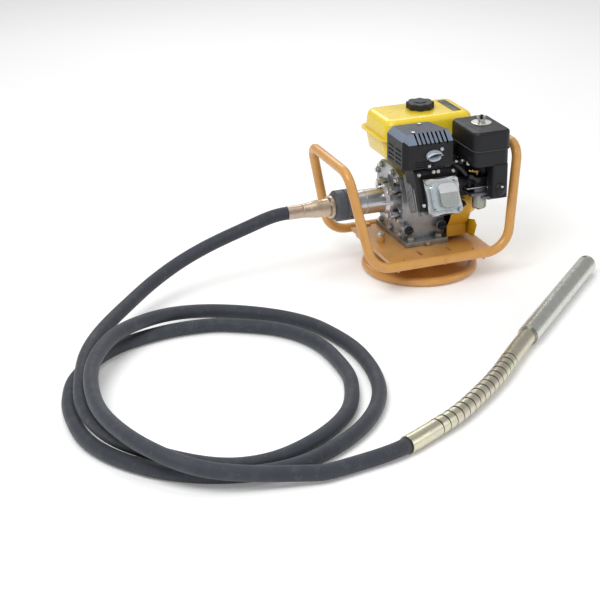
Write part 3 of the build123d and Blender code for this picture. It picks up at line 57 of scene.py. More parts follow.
# ------------------------------------------------------------------ materials
class Look:
    """A Principled material built from nodes, in object coordinates (metres)."""

    def __init__(self, name):
        self.m = bpy.data.materials.new(name)
        self.m.use_nodes = True
        self.tree = self.m.node_tree
        self.tree.nodes.clear()
        self.out = self.node("ShaderNodeOutputMaterial")
        self.bsdf = self.node("ShaderNodeBsdfPrincipled")
        self.join(self.bsdf.outputs[0], self.out.inputs["Surface"])
        self.coord = self.node("ShaderNodeTexCoord").outputs["Object"]

    def node(self, kind, **props):
        n = self.tree.nodes.new(kind)
        for key, value in props.items():
            setattr(n, key, value)
        return n

    def join(self, a, b):
        self.tree.links.new(a, b)

    def put(self, socket, value):
        if isinstance(value, bpy.types.NodeSocket):
            self.join(value, socket)
        elif isinstance(value, (tuple, list)) and len(value) == 3 and socket.type == "RGBA":
            socket.default_value = (*value, 1.0)
        else:
            socket.default_value = value

    def set(self, **inputs):
        for key, value in inputs.items():
            self.put(self.bsdf.inputs[key.replace("_", " ")], value)

    def scaled(self, x, y, z, source=None):
        n = self.node("ShaderNodeMapping")
        self.join(source or self.coord, n.inputs["Vector"])
        n.inputs["Scale"].default_value = (x, y, z)
        return n.outputs[0]

    def noise(self, scale, detail=3.0, rough=0.5, source=None, distort=0.0):
        n = self.node("ShaderNodeTexNoise")
        self.join(source or self.coord, n.inputs["Vector"])
        n.inputs["Scale"].default_value = scale
        n.inputs["Detail"].default_value = detail
        n.inputs["Roughness"].default_value = rough
        n.inputs["Distortion"].default_value = distort
        return n.outputs["Fac"]

    def cells(self, scale):
        n = self.node("ShaderNodeTexVoronoi", feature="F1")
        self.join(self.coord, n.inputs["Vector"])
        n.inputs["Scale"].default_value = scale
        return n.outputs["Distance"]

    def ramp(self, fac, *stops):
        n = self.node("ShaderNodeValToRGB")
        self.join(fac, n.inputs["Fac"])
        band = n.color_ramp
        while len(band.elements) < len(stops):
            band.elements.new(0.5)
        for element, (at, value) in zip(band.elements, stops):
            element.position = at
            rgb = value if isinstance(value, (tuple, list)) else (value, value, value)
            element.color = (*rgb, 1.0)
        return n.outputs["Color"]

    def mix(self, fac, a, b):
        n = self.node("ShaderNodeMix", data_type="RGBA", blend_type="MIX")
        self.put(n.inputs["Factor"], fac)
        self.put(n.inputs["A"], a)
        self.put(n.inputs["B"], b)
        for socket in n.outputs:
            if socket.type == "RGBA":
                return socket

    def calc(self, op, a, b=0.0, clamp=False):
        n = self.node("ShaderNodeMath", operation=op, use_clamp=clamp)
        self.put(n.inputs[0], a)
        self.put(n.inputs[1], b)
        return n.outputs[0]

    def edges(self, radius, gain=6.0):
        """0 on flats, 1 along edges, from how far a rounded normal leans."""
        soft = self.node("ShaderNodeBevel", samples=4)
        soft.inputs["Radius"].default_value = radius
        plain = self.node("ShaderNodeNewGeometry")
        dot = self.node("ShaderNodeVectorMath", operation="DOT_PRODUCT")
        self.join(soft.outputs[0], dot.inputs[0])
        self.join(plain.outputs["Normal"], dot.inputs[1])
        lean = self.calc("SUBTRACT", 1.0, dot.outputs["Value"])
        return self.calc("MULTIPLY", lean, gain, clamp=True)

    # occlusion of a point: where it is used, hollows get painted shade
    def cavity(self, reach):
        n = self.node("ShaderNodeAmbientOcclusion", samples=6)
        n.inputs["Distance"].default_value = reach
        return self.calc("SUBTRACT", 1.0, n.outputs["AO"], clamp=True)

    def facing_up(self):
        n = self.node("ShaderNodeNewGeometry")
        split = self.node("ShaderNodeSeparateXYZ")
        self.join(n.outputs["Normal"], split.inputs[0])
        return self.calc("MAXIMUM", split.outputs["Z"], 0.0)

    def bump(self, *layers, soften=0.0):
        """layers: (height output, strength, distance in metres)."""
        last = None
        if soften:
            soft = self.node("ShaderNodeBevel", samples=4)
            soft.inputs["Radius"].default_value = soften
            last = soft.outputs[0]
        for height, strength, distance in layers:
            n = self.node("ShaderNodeBump")
            self.join(height, n.inputs["Height"])
            n.inputs["Strength"].default_value = strength
            n.inputs["Distance"].default_value = distance
            if last is not None:
                self.join(last, n.inputs["Normal"])
            last = n.outputs[0]
        self.join(last, self.bsdf.inputs["Normal"])


def paint(name, base, shade, glow, rough=0.28, wear=0.35, coat=0.35):
    """Gloss enamel on steel: faint mottling, orange peel, painted shade with grime in the hollows, chipped
    edges.
    """
    k = Look(name)
    body = k.mix(k.ramp(k.noise(14, 4), (0.3, 0.0), (0.75, 1.0)), base, shade)
    body = k.mix(k.ramp(k.noise(60, 3), (0.5, 0.0), (0.8, 0.35)), body, glow)
    # painted shade: hollows darkened from ambient occlusion, broken up by noise as grime
    shade_and_grime = k.calc("MULTIPLY", k.cavity(0.018), k.ramp(k.noise(40, 5), (0.25, 0.25), (0.7, 1.0)))
    body = k.mix(k.calc("MULTIPLY", shade_and_grime, 0.75), body, tuple(c * 0.28 for c in shade))
    rub = k.calc("MULTIPLY", k.edges(0.0011, 5.0), k.ramp(k.noise(220, 4), (0.5, 0.0), (0.62, 1.0)))
    rub = k.calc("MULTIPLY", rub, wear)
    body = k.mix(rub, body, (0.55, 0.50, 0.44))
    k.set(Base_Color=body, Metallic=k.calc("MULTIPLY", rub, 0.8))
    k.set(Roughness=k.ramp(k.noise(35, 4), (0.3, rough), (0.8, rough + 0.18)))
    k.set(Coat_Weight=coat, Coat_Roughness=0.12)
    k.bump((k.noise(420, 2), 0.12, 0.0002), (k.noise(90, 3), 0.10, 0.0006), soften=0.0008)
    return k.m


def cast(name, base=(0.52, 0.53, 0.55), dark=(0.30, 0.31, 0.33), rough=0.38, grain=0.5, shade_above=None):
    """Sand or die cast alloy: grainy skin, painted shade with grime in the hollows, bright edges that are
    rubbed and partly a painted highlight.

    Above the height given last, the casting is painted near-black as shade and its edges lose most of their
    brightening.
    """
    k = Look(name)
    tone = k.mix(k.ramp(k.noise(28, 6, 0.6), (0.3, 0.0), (0.75, 1.0)), base, dark)
    # painted shade: hollows darkened from ambient occlusion, broken up by noise as grime
    shade_and_grime = k.calc("MULTIPLY", k.cavity(0.014), k.ramp(k.noise(55, 5), (0.2, 0.4), (0.6, 1.0)))
    tone = k.mix(k.calc("MULTIPLY", shade_and_grime, 0.9), tone, (0.045, 0.042, 0.04))
    # edges brightened: rubbed metal, partly a painted highlight
    rub = k.calc("MULTIPLY", k.edges(0.0012, 6.0), 0.8)
    # painted shade: near-black above the given height
    if shade_above is not None:
        split = k.node("ShaderNodeSeparateXYZ")
        k.join(k.coord, split.inputs[0])
        above = k.ramp(k.calc("SUBTRACT", split.outputs["Z"], shade_above), (0.0, 0.0), (0.004, 0.94))
        tone = k.mix(above, tone, (0.012, 0.012, 0.016))
        rub = k.calc("MULTIPLY", rub, 0.12)
    tone = k.mix(rub, tone, (0.80, 0.80, 0.81))
    k.set(Base_Color=tone, Metallic=0.92)
    k.set(Roughness=k.ramp(k.noise(120, 4), (0.3, rough), (0.75, rough + 0.2)))
    k.bump((k.noise(900, 3), grain, 0.00025), (k.noise(160, 4), grain * 0.7, 0.0007), soften=0.0009)
    return k.m


def polished(name, painted_sky, along, start, reach, *painted_light_bands):
    """Buffed die casting, with painted highlights and shade in bands of height along one axis.

    The bands run over reach metres from start. Slopes that face up get a painted sky reflection.
    """
    k = Look(name)
    height = k.node("ShaderNodeVectorMath", operation="DOT_PRODUCT")
    k.join(k.coord, height.inputs[0])
    height.inputs[1].default_value = along
    rise = k.calc("DIVIDE", k.calc("SUBTRACT", height.outputs["Value"], start), reach)
    # painted highlights and shade: tone in bands of height
    tone = k.ramp(rise, *painted_light_bands)
    tone = k.mix(k.ramp(k.noise(16, 4), (0.35, 0.0), (0.7, 0.12)), tone, (0.40, 0.43, 0.42))
    # painted reflection: slopes that face up take the sky's tone
    tone = k.mix(k.ramp(k.facing_up(), (0.47, 0.0), (0.60, 1.0)), tone, painted_sky)
    # painted shade: hollows darkened from ambient occlusion, with grime
    shade_and_grime = k.calc("MULTIPLY", k.cavity(0.009), k.ramp(k.noise(55, 5), (0.2, 0.5), (0.6, 1.0)))
    tone = k.mix(k.calc("MULTIPLY", shade_and_grime, 0.85), tone, (0.10, 0.12, 0.14))
    # painted highlight along the edges
    tone = k.mix(k.calc("MULTIPLY", k.edges(0.0010, 6.0), 0.6), tone, (0.93, 0.94, 0.95))
    k.set(Base_Color=tone, Metallic=0.75)
    k.set(Roughness=k.ramp(k.noise(40, 3), (0.3, 0.24), (0.8, 0.32)))
    k.bump((k.noise(60, 2), 0.02, 0.0003), soften=0.0007)
    return k.m


def turned(name, base, dark, along="X", rough=0.24, pitch=900.0, cavity_shade=0.8, metal=1.0):
    """Machined metal with fine lathe lines round the turning axis.

    Its cavities are darkened as painted shade, by the amount given last but one.
    """
    k = Look(name)
    scale = {"X": (pitch, 6, 6), "Y": (6, pitch, 6), "Z": (6, 6, pitch)}[along]
    lines = k.noise(1.0, 3, 0.7, k.scaled(*scale))
    tone = k.mix(k.ramp(lines, (0.35, 0.0), (0.65, 1.0)), base, dark)
    smudge = k.ramp(k.noise(26, 5), (0.45, 0.0), (0.8, 1.0))
    tone = k.mix(k.calc("MULTIPLY", smudge, 0.35), tone, tuple(c * 0.55 for c in dark))
    # painted shade: cavities darkened from ambient occlusion
    tone = k.mix(k.calc("MULTIPLY", k.cavity(0.012), cavity_shade), tone, (0.04, 0.04, 0.04))
    k.set(Base_Color=tone, Metallic=metal)
    k.set(Roughness=k.ramp(lines, (0.3, rough), (0.7, rough + 0.12)), Anisotropic=0.35)
    k.bump((lines, 0.12, 0.00012), soften=0.0006)
    return k.m


def zinc(name, base, tints, rough=0.26, streak=(18, 18, 18), skin=0.10):
    """Zinc plate: passivation colours drift over the surface in soft clouds.

    skin is the strength of its fine grain.
    """
    k = Look(name)
    drift = k.noise(1.0, 4, 0.55, k.scaled(*streak), 0.6)
    steps = [(0.25 + 0.5 * i / (len(tints) - 1), c) for i, c in enumerate(tints)]
    tone = k.mix(0.6, base, k.ramp(drift, *steps))
    scuff = k.ramp(k.noise(1.0, 5, 0.65, k.scaled(300, 300, 60)), (0.55, 0.0), (0.72, 1.0))
    tone = k.mix(k.calc("MULTIPLY", scuff, 0.3), tone, (0.28, 0.26, 0.23))
    # painted shade: cavities darkened from ambient occlusion
    tone = k.mix(k.calc("MULTIPLY", k.cavity(0.006), 0.9), tone, (0.05, 0.045, 0.035))
    k.set(Base_Color=tone, Metallic=1.0)
    k.set(Roughness=k.ramp(k.noise(80, 4), (0.3, rough), (0.75, rough + 0.16)))
    k.bump((k.noise(500, 3), skin, 0.0002), (k.noise(60, 3), 1.2 * skin, 0.0006), soften=0.0005)
    return k.m


def plastic(name, base=(0.012, 0.0125, 0.016), rough=0.36, grain=0.35, soften=0.0012, slope=None):
    """Moulded black plastic: fine spark texture, dusty tops, paler edges that are rubbed and partly a
    painted highlight, painted shade in hollows.

    slope is the painted reflection tone given to the faces that lean back at about 45 degrees.
    """
    k = Look(name)
    dust = k.calc("MULTIPLY", k.facing_up(), k.ramp(k.noise(30, 6, 0.65), (0.35, 0.0), (0.8, 0.6)))
    tone = k.mix(k.calc("MULTIPLY", dust, 0.10), base, (0.16, 0.16, 0.165))
    # paler edges: rubbed plastic, partly a painted highlight
    tone = k.mix(k.calc("MULTIPLY", k.edges(0.0015, 4.0), 0.25), tone, (0.10, 0.105, 0.115))
    if slope is not None:
        # painted reflection on faces that lean back, broken into streaks
        reflecting_slope = k.ramp(k.facing_up(), (0.50, 0.0), (0.60, 1.0), (0.86, 1.0), (0.94, 0.25))
        reflection_streaks = k.ramp(k.noise(1.0, 3, 0.5, k.scaled(26, 6, 6)), (0.3, 0.75), (0.7, 1.0))
        tone = k.mix(k.calc("MULTIPLY", reflecting_slope, reflection_streaks), tone, slope)
    # painted shade: hollows darkened from ambient occlusion
    tone = k.mix(k.calc("MULTIPLY", k.cavity(0.012), 0.6), tone, (0.004, 0.004, 0.004))
    k.set(Base_Color=tone, Specular_IOR_Level=0.30)
    k.set(Roughness=k.ramp(k.noise(55, 5), (0.3, rough), (0.8, rough + 0.12)))
    k.bump((k.cells(1400), grain, 0.00012), (k.noise(50, 2), 0.06, 0.001), soften=soften)
    return k.m


def hose_look():
    """Rubber with a cloth-wrap imprint. UV: u once round, v in metres along."""
    k = Look("hose_rubber")
    uv = k.node("ShaderNodeUVMap").outputs["UV"]
    weave = k.noise(1.0, 2, 0.5, k.scaled(60, 900, 1, uv))
    wrap = k.noise(1.0, 3, 0.6, k.scaled(3, 38, 1, uv), 0.4)
    cloud = k.ramp(k.noise(9, 5, 0.6), (0.3, 0.0), (0.75, 1.0))
    tone = k.mix(cloud, (0.034, 0.040, 0.053), (0.052, 0.058, 0.072))
    tone = k.mix(k.ramp(weave, (0.4, 0.0), (0.62, 0.55)), tone, (0.020, 0.023, 0.030))
    tone = k.mix(k.ramp(wrap, (0.55, 0.0), (0.8, 0.5)), tone, (0.085, 0.090, 0.102))
    dust = k.ramp(k.noise(70, 6, 0.7), (0.58, 0.0), (0.75, 0.35))
    tone = k.mix(dust, tone, (0.16, 0.155, 0.15))
    # painted shade: hollows and contacts darkened from ambient occlusion
    tone = k.mix(k.calc("MULTIPLY", k.cavity(0.02), 0.75), tone, (0.008, 0.009, 0.011))
    k.set(Base_Color=tone, Specular_IOR_Level=0.32)
    k.set(Roughness=k.ramp(k.noise(45, 4), (0.3, 0.55), (0.75, 0.74)))
    k.set(Sheen_Weight=0.12, Sheen_Roughness=0.5)
    k.bump((weave, 0.35, 0.0004), (wrap, 0.25, 0.0008), (k.noise(600, 2), 0.15, 0.0002))
    return k.m


def simple_rubber(name, base=(0.012, 0.012, 0.013), rough=0.5):
    k = Look(name)
    tone = k.mix(k.ramp(k.noise(40, 5), (0.4, 0.0), (0.8, 1.0)), base, tuple(c * 2.2 + 0.01 for c in base))
    k.set(Base_Color=tone, Roughness=k.ramp(k.noise(90, 3), (0.3, rough), (0.8, rough + 0.2)))
    k.bump((k.noise(700, 2), 0.2, 0.0002))
    return k.m


def fibrous(name, base, fold):
    """Pleated filter paper or friction lining."""
    k = Look(name)
    pleat = k.noise(1.0, 2, 0.5, k.scaled(420, 420, 4))
    tone = k.mix(k.ramp(pleat, (0.35, 0.0), (0.65, 1.0)), base, fold)
    k.set(Base_Color=tone, Roughness=0.85)
    k.bump((pleat, 0.8, 0.001), (k.noise(900, 3), 0.3, 0.0002))
    return k.m


orange = ((0.66, 0.335, 0.085), (0.60, 0.285, 0.065), (0.72, 0.40, 0.13))
looks = {
    "frame": paint("frame_enamel", *orange, rough=0.30, wear=0.3),
    # the fan shroud: the recoil cover's yellow paint, painted darker and more orange as shade
    "shroud": paint("shroud_shaded_yellow_enamel", (0.78, 0.43, 0.04), (0.70, 0.36, 0.03), (0.80, 0.50, 0.06)),
    "recoil": paint("recoil_enamel", (0.86, 0.60, 0.02), (0.78, 0.50, 0.02), (0.86, 0.66, 0.04)),
    "tank": paint(
        "tank_enamel",
        (0.88, 0.66, 0.030),
        (0.86, 0.62, 0.028),
        (0.90, 0.69, 0.045),
        rough=0.20,
        wear=0.08,
    ),
    "cast": cast("cast_alloy"),
    # the valve cover: painted highlights, reflections and shade in bands along the cylinder
    "buffed_cast_painted_light": polished(
        "buffed_cast_painted_light",
        (0.97, 0.98, 0.99),
        cylinder_z,
        cover_flange_at,
        cover_rise,
        (0.0, (0.90, 0.93, 0.94)),
        (0.08, (0.30, 0.36, 0.40)),
        (0.30, (0.70, 0.80, 0.85)),
        (0.60, (0.74, 0.81, 0.85)),
        (0.68, (0.28, 0.34, 0.37)),
        (0.92, (0.44, 0.49, 0.50)),
        (0.99, (0.50, 0.53, 0.51)),
    ),
    # the carburettor: grey-violet, painted near-black as shade above a set height
    "carb": cast("carburettor_alloy", (0.20, 0.18, 0.23), (0.13, 0.12, 0.15), 0.40, 0.3, carb_shade_line),
    "adapter": turned("adapter_turned", (0.66, 0.66, 0.69), (0.58, 0.58, 0.61), "X", 0.27, 1600),
    "steel": turned("shaft_steel", (0.58, 0.58, 0.58), (0.36, 0.36, 0.37), "X"),
    "bolt": zinc(
        "bolt_zinc",
        (0.70, 0.69, 0.66),
        [(0.75, 0.74, 0.72), (0.60, 0.58, 0.52), (0.72, 0.72, 0.74)],
        0.3,
    ),
    "brass": turned("brass_turned", (0.72, 0.50, 0.18), (0.50, 0.33, 0.10), "Y", 0.25, 400),
    "sleeve": zinc(
        "sleeve_zinc",
        (0.60, 0.50, 0.40),
        [(0.66, 0.56, 0.45), (0.48, 0.36, 0.31), (0.62, 0.54, 0.38), (0.58, 0.44, 0.41)],
        0.3,
        (30, 8, 8),
    ),
    "guard": zinc(
        "guard_zinc",
        (0.66, 0.63, 0.50),
        [(0.74, 0.72, 0.56), (0.62, 0.55, 0.46), (0.70, 0.70, 0.50), (0.66, 0.56, 0.52)],
        0.3,
        (10, 10, 10),
    ),
    "poker": zinc(
        "poker_steel",
        (0.66, 0.67, 0.62),
        [(0.74, 0.75, 0.70), (0.62, 0.64, 0.56), (0.70, 0.72, 0.72)],
        0.24,
        (5, 5, 14),
        0.02,
    ),
    "hub_ring": turned("hub_ring", (0.74, 0.74, 0.74), (0.58, 0.58, 0.58), "X", 0.28, 600),
    "collar": paint(
        "collar_phosphate",
        (0.075, 0.082, 0.096),
        (0.055, 0.06, 0.07),
        (0.11, 0.115, 0.13),
        rough=0.42,
        wear=0.5,
        coat=0.0,
    ),
    "dark_lever": plastic("dark_lever", (0.020, 0.020, 0.023), 0.3, 0.1, 0.0004),
    "plastic": plastic("black_plastic"),
    "cap": plastic("cap_plastic", (0.018, 0.020, 0.026), 0.38, 0.2),
    "knob": plastic("grey_plastic", (0.16, 0.16, 0.165), 0.45, 0.2, 0.0006),
    # the muffler guard: its bevel gets a painted bluish reflection
    "guard_paint": plastic("muffler_black", (0.0095, 0.0095, 0.012), 0.34, 0.15, slope=(0.19, 0.235, 0.31)),
    "shroud_black": plastic("shroud_black", (0.008, 0.008, 0.010), 0.42, 0.1),
    "hot": cast("muffler_steel", (0.20, 0.185, 0.17), (0.10, 0.085, 0.075), 0.55, 0.4),
    "outlet": turned("outlet_steel", (0.62, 0.68, 0.76), (0.40, 0.45, 0.52), "Y", 0.18, 200, 0.15, 0.3906),
    "rubber": simple_rubber("boot_rubber"),
    "hose": hose_look(),
    "paper": fibrous("filter_paper", (0.62, 0.50, 0.30), (0.40, 0.30, 0.16)),
    "lining": fibrous("clutch_lining", (0.16, 0.12, 0.09), (0.09, 0.07, 0.05)),
    "ceramic": simple_rubber("plug_ceramic", (0.80, 0.79, 0.76), 0.15),
    "gasket": simple_rubber("gasket_sheet", (0.030, 0.028, 0.026), 0.7),
    # paler grey: painted highlight on the air cleaner lid's rim
    "lid_rim_highlight": plastic("lid_rim_highlight", (0.045, 0.047, 0.052), 0.35, 0.1, 0.0004),
    "label": simple_rubber("label_film", (0.035, 0.036, 0.028), 0.3),
    "label_fields": simple_rubber("label_fields", (0.075, 0.075, 0.06), 0.3),
    "weld": paint("weld_enamel", *orange, rough=0.34, wear=0.2),
    "bowl": cast("bowl_alloy", (0.42, 0.44, 0.40), (0.26, 0.30, 0.22), 0.22, 0.2),
}

look_of = {
    "frame": "frame_tube mounting_plate cross_beams hub_bracket base_ring base_dish",
    "shroud": "fan_shroud",
    "recoil": "recoil_cover",
    "tank": "fuel_tank",
    "cast": "crankcase side_cover cylinder_head piston",
    "buffed_cast_painted_light": "valve_cover",
    "carb": "carburetor",
    "bowl": "float_bowl",
    "adapter": "adapter_housing",
    "steel": "main_bearings crankshaft flywheel clutch_hub clutch_spring clutch_drum drum_bearings "
    "poker_bearings eccentric_rotor pivot_pin",
    "bolt": "cover_bolts valve_cover_bolts adapter_bolts drain_bolt mount_bolts wing_nut guard_screws "
    "throttle_lever",
    "dark_lever": "choke_lever",
    "sleeve": "hose_sleeve",
    "guard": "spring_guard",
    "poker": "poker_tube poker_neck poker_tip",
    "collar": "coupling_collar",
    "plastic": "air_base air_cover recoil_handle stop_switch",
    "cap": "fuel_cap oil_filler_cap oil_level_cap",
    "knob": "fuel_tap_lever recoil_pulley",
    "guard_paint": "muffler_guard",
    "shroud_black": "cylinder_shroud",
    "hot": "muffler_body",
    "outlet": "exhaust_outlet",
    "rubber": "plug_boot",
    "hose": "hose",
    "paper": "filter_element",
    "lining": "clutch_shoes",
    "ceramic": "spark_plug",
}
for look, names in look_of.items():
    for name in names.split():
        mesh = nodes[name].data
        mesh.materials.clear()
        mesh.materials.append(looks[look])


# ------------------------------------------------------------ smooth shading
def smooth_group(angle):
    """Geometry nodes: weld the CAD faces and shade smooth below an angle."""
    g = bpy.data.node_groups.new("smooth_by_angle", "GeometryNodeTree")
    g.interface.new_socket("Geometry", in_out="INPUT", socket_type="NodeSocketGeometry")
    g.interface.new_socket("Geometry", in_out="OUTPUT", socket_type="NodeSocketGeometry")
    start = g.nodes.new("NodeGroupInput")
    end = g.nodes.new("NodeGroupOutput")
    weld = g.nodes.new("GeometryNodeMergeByDistance")
    weld.inputs["Distance"].default_value = 2e-6
    faces = g.nodes.new("GeometryNodeSetShadeSmooth")
    faces.inputs["Shade Smooth"].default_value = True
    turn = g.nodes.new("GeometryNodeInputMeshEdgeAngle")
    small = g.nodes.new("FunctionNodeCompare")
    small.operation = "LESS_THAN"
    small.inputs[1].default_value = angle
    lines = g.nodes.new("GeometryNodeSetShadeSmooth")
    lines.domain = "EDGE"
    g.links.new(start.outputs[0], weld.inputs[0])
    g.links.new(weld.outputs[0], faces.inputs[0])
    g.links.new(faces.outputs[0], lines.inputs[0])
    g.links.new(turn.outputs["Unsigned Angle"], small.inputs[0])
    g.links.new(small.outputs[0], lines.inputs["Shade Smooth"])
    g.links.new(lines.outputs[0], end.inputs[0])
    return g


smoother = smooth_group(math.radians(32))
crisper = smooth_group(math.radians(13))
for name, obj in nodes.items():
    if name != "hose":
        obj.modifiers.new("smooth", "NODES").node_group = crisper if name == "valve_cover" else smoother


# ----------------------------------------------------------- mesh helpers
def piece(name, bm, look, body="machine", smooth=True):
    mesh = bpy.data.meshes.new(name)
    bm.to_mesh(mesh)
    bm.free()
    if smooth:
        for poly in mesh.polygons:
            poly.use_smooth = True
    obj = bpy.data.objects.new(name, mesh)
    bpy.context.scene.collection.objects.link(obj)
    mesh.materials.append(looks[look])
    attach(obj, body)
    return obj


def frames_along(points):
    """Tangents and a twist-free side vector at each point of a polyline."""
    p = np.asarray(points, float)
    t = np.gradient(p, axis=0)
    t /= np.linalg.norm(t, axis=1)[:, None]
    side = np.zeros_like(p)
    first = np.cross(t[0], (0, 0, 1)) if abs(t[0][2]) < 0.9 else np.cross(t[0], (1, 0, 0))
    side[0] = first / np.linalg.norm(first)
    for i in range(1, len(p)):
        s = side[i - 1] - t[i] * side[i - 1].dot(t[i])
        side[i] = s / np.linalg.norm(s)
    return p, t, side


def tube(bm, points, radii, sides=16, uv=False):
    """A closed tube along points (metres) with a radius for each point."""
    p, t, side = frames_along(points)
    radii = np.broadcast_to(radii, len(p))
    rings = []
    for i in range(len(p)):
        up = np.cross(t[i], side[i])
        ring = []
        for j in range(sides):
            a = 2 * math.pi * j / sides
            ring.append(bm.verts.new(p[i] + radii[i] * (math.cos(a) * side[i] + math.sin(a) * up)))
        rings.append(ring)
    layer = bm.loops.layers.uv.new("UVMap") if uv else None
    far = np.r_[0, np.cumsum(np.linalg.norm(np.diff(p, axis=0), axis=1))]
    for i in range(len(p) - 1):
        for j in range(sides):
            k = (j + 1) % sides
            face = bm.faces.new((rings[i][j], rings[i][k], rings[i + 1][k], rings[i + 1][j]))
            if uv:
                marks = ((j, i), (j + 1, i), (j + 1, i + 1), (j, i + 1))
                for loop, (a, b) in zip(face.loops, marks):
                    loop[layer].uv = (a / sides, far[b])
    bm.faces.new(rings[0][::-1])
    bm.faces.new(rings[-1])


# ------------------------------------------------------------------- hose
hose_points = (
    (-344, 25, 184), (-430, 32, 164), (-520, 40, 132), (-610, 32, 100), (-690, -4, 76),
    (-768, -72, 62), (-862, -180, 55), (-926, -285, 54), (-964, -385, 49), (-990, -495, 43),
    (-988, -590, 41), (-962, -672, 39), (-915, -735, 35), (-855, -785, 27), (-777, -820, 18),
    (-700, -828, 17), (-630, -808, 17), (-551, -763, 17), (-468, -678, 17), (-428, -590, 17),
    (-410, -480, 17), (-422, -350, 17), (-476, -258, 17), (-569, -195, 17), (-661, -172, 17),
    (-761, -181, 17), (-870, -228, 17), (-958, -320, 17), (-1004, -430, 17), (-1016, -528, 17),
    (-1013, -600, 17), (-992, -670, 17), (-935, -758, 17), (-870, -815, 17), (-780, -856, 17),
    (-680, -868, 17), (-580, -838, 17), (-468, -760, 17), (-379, -626, 17), (-351, -480, 17),
    (-377, -305, 17), (-438, -203, 17), (-518, -142, 19), (-600, -122, 28), (-690, -136, 42),
    (-770, -178, 55), (-850, -245, 66), (-910, -330, 71), (-950, -420, 72), (-972, -520, 74),
    (-979, -610, 78), (-968, -698, 80), (-932, -788, 74), (-865, -860, 57), (-770, -892, 38),
    (-640, -914, 22), (-545, -905, 18), (-428, -878, 19.5),
)
guard_points = (
    (-428, -878, 19.5), (-348, -838, 20.5), (-285, -803, 21), (-216, -753, 22),
    (-162, -709, 22.5), (-109, -661, 23.5), (-49, -600, 24),
)
poker_base = np.array((27.0, -526.0, 24.0))
poker_dir = np.array((344.0, 327.0, 0.0)) / math.hypot(344, 327)
guard_lead = np.array((0.905, 0.425, 0.0)) / math.hypot(0.905, 0.425)
hose_r = 16.3
neck_l = 45


def end_slope(p, u, at, direction):
    """direction, as long as the slope there of a parabola through the first points."""
    count = min(3, len(p))
    fit = np.polyfit(u[:count], p[:count], count - 1)
    slope = fit[0] if count == 2 else 2 * fit[0] * at + fit[1]
    d = np.asarray(direction, float)
    return d * np.abs(slope).sum() / np.abs(d).sum()


def clamped_spline(points, lead, trail, step):
    """Cubic through the points, chord-length spaced, with set end directions."""
    p = np.asarray(points, float)
    u = np.r_[0, np.cumsum(np.linalg.norm(np.diff(p, axis=0), axis=1))]
    n = len(p)
    h = np.diff(u)
    a = np.zeros((n, n))
    b = np.zeros((n, 3))
    a[0, 0] = a[-1, -1] = 1
    b[0] = end_slope(p, u, u[0], lead)
    b[-1] = end_slope(p, u, u[-1], trail)
    for i in range(1, n - 1):
        a[i, i - 1] = 1 / h[i - 1]
        a[i, i] = 2 / h[i - 1] + 2 / h[i]
        a[i, i + 1] = 1 / h[i]
        b[i] = 3 * ((p[i] - p[i - 1]) / h[i - 1] ** 2 + (p[i + 1] - p[i]) / h[i] ** 2)
    m = np.linalg.solve(a, b)
    out = []
    for i in range(n - 1):
        count = max(2, int(round(h[i] / step)))
        s = np.arange(count)[:, None] / count
        out.append(
            (2 * s**3 - 3 * s**2 + 1) * p[i]
            + (s**3 - 2 * s**2 + s) * h[i] * m[i]
            + (3 * s**2 - 2 * s**3) * p[i + 1]
            + (s**3 - s**2) * h[i] * m[i + 1]
        )
    return np.vstack(out)


def even_path(points, step):
    """The same polyline at an even spacing."""
    far = np.r_[0, np.cumsum(np.linalg.norm(np.diff(points, axis=0), axis=1))]
    at = np.linspace(0, far[-1], int(far[-1] / step) + 1)
    return np.column_stack([np.interp(at, far, points[:, i]) for i in range(3)])


def hose_path():
    pts = np.asarray(hose_points, float)
    last_point = len(pts) - 1
    lead = np.array((-1.0, 0, 0))
    runs = []
    for first in range(0, last_point, 4):
        last = min(first + 4, last_point)
        if last < last_point:
            trail = pts[last + 1] - pts[last - 1]
            trail /= np.linalg.norm(trail)
        else:
            trail = guard_lead
        runs.append(clamped_spline(pts[first : last + 1], lead, trail, 1.0))
        lead = trail
    end = poker_base - neck_l * poker_dir
    runs.append(clamped_spline([*guard_points, end], guard_lead, poker_dir, 1.0))
    return np.vstack([*runs, end])


hose_step = 1.75
guard_reach = 515
centre = even_path(hose_path(), hose_step)
steps = np.arange(len(centre))
# fine ribs left by the curing wrap, worn flatter in places
swell = np.array((0.0, -0.16, -0.30, -0.16))[steps % 4]
fade = 0.75 + 0.25 * np.sin(steps * 0.013) * np.sin(steps * 0.0041 + 1.3)
hose_radii = hose_r + swell * fade
hose_radii[:2] = hose_r - 0.3
# smooth where the spring guard covers it
hose_radii[steps * hose_step > steps[-1] * hose_step - guard_reach] = hose_r - 0.2
bm = bmesh.new()
tube(bm, centre * MM, hose_radii * MM, 24, uv=True)
hose_skin = piece("hose_skin", bm, "hose")
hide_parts("hose")


# ----------------------------------------------------- shapes for small pieces
def axes(origin, z, x=(1, 0, 0)):
    """Frame in millimetres whose Z is z and whose X lies nearest to x."""
    w = Vector(z).normalized()
    u = (Vector(x) - w * w.dot(Vector(x))).normalized()
    m = Matrix((u, w.cross(u), w)).transposed().to_4x4()
    m.translation = Vector(origin)
    return m


def rounded(w, h, r, count=6):
    """Outline of a rounded rectangle about the origin."""
    out = []
    for cx, cy, start in ((1, 1, 0), (-1, 1, 90), (-1, -1, 180), (1, -1, 270)):
        for i in range(count + 1):
            a = math.radians(start + 90 * i / count)
            out.append((cx * (w / 2 - r) + r * math.cos(a), cy * (h / 2 - r) + r * math.sin(a)))
    return out


def disc(r, count=24, phase=0.0):
    turn_by = 2 * math.pi / count
    return [(r * math.cos(i * turn_by + phase), r * math.sin(i * turn_by + phase)) for i in range(count)]


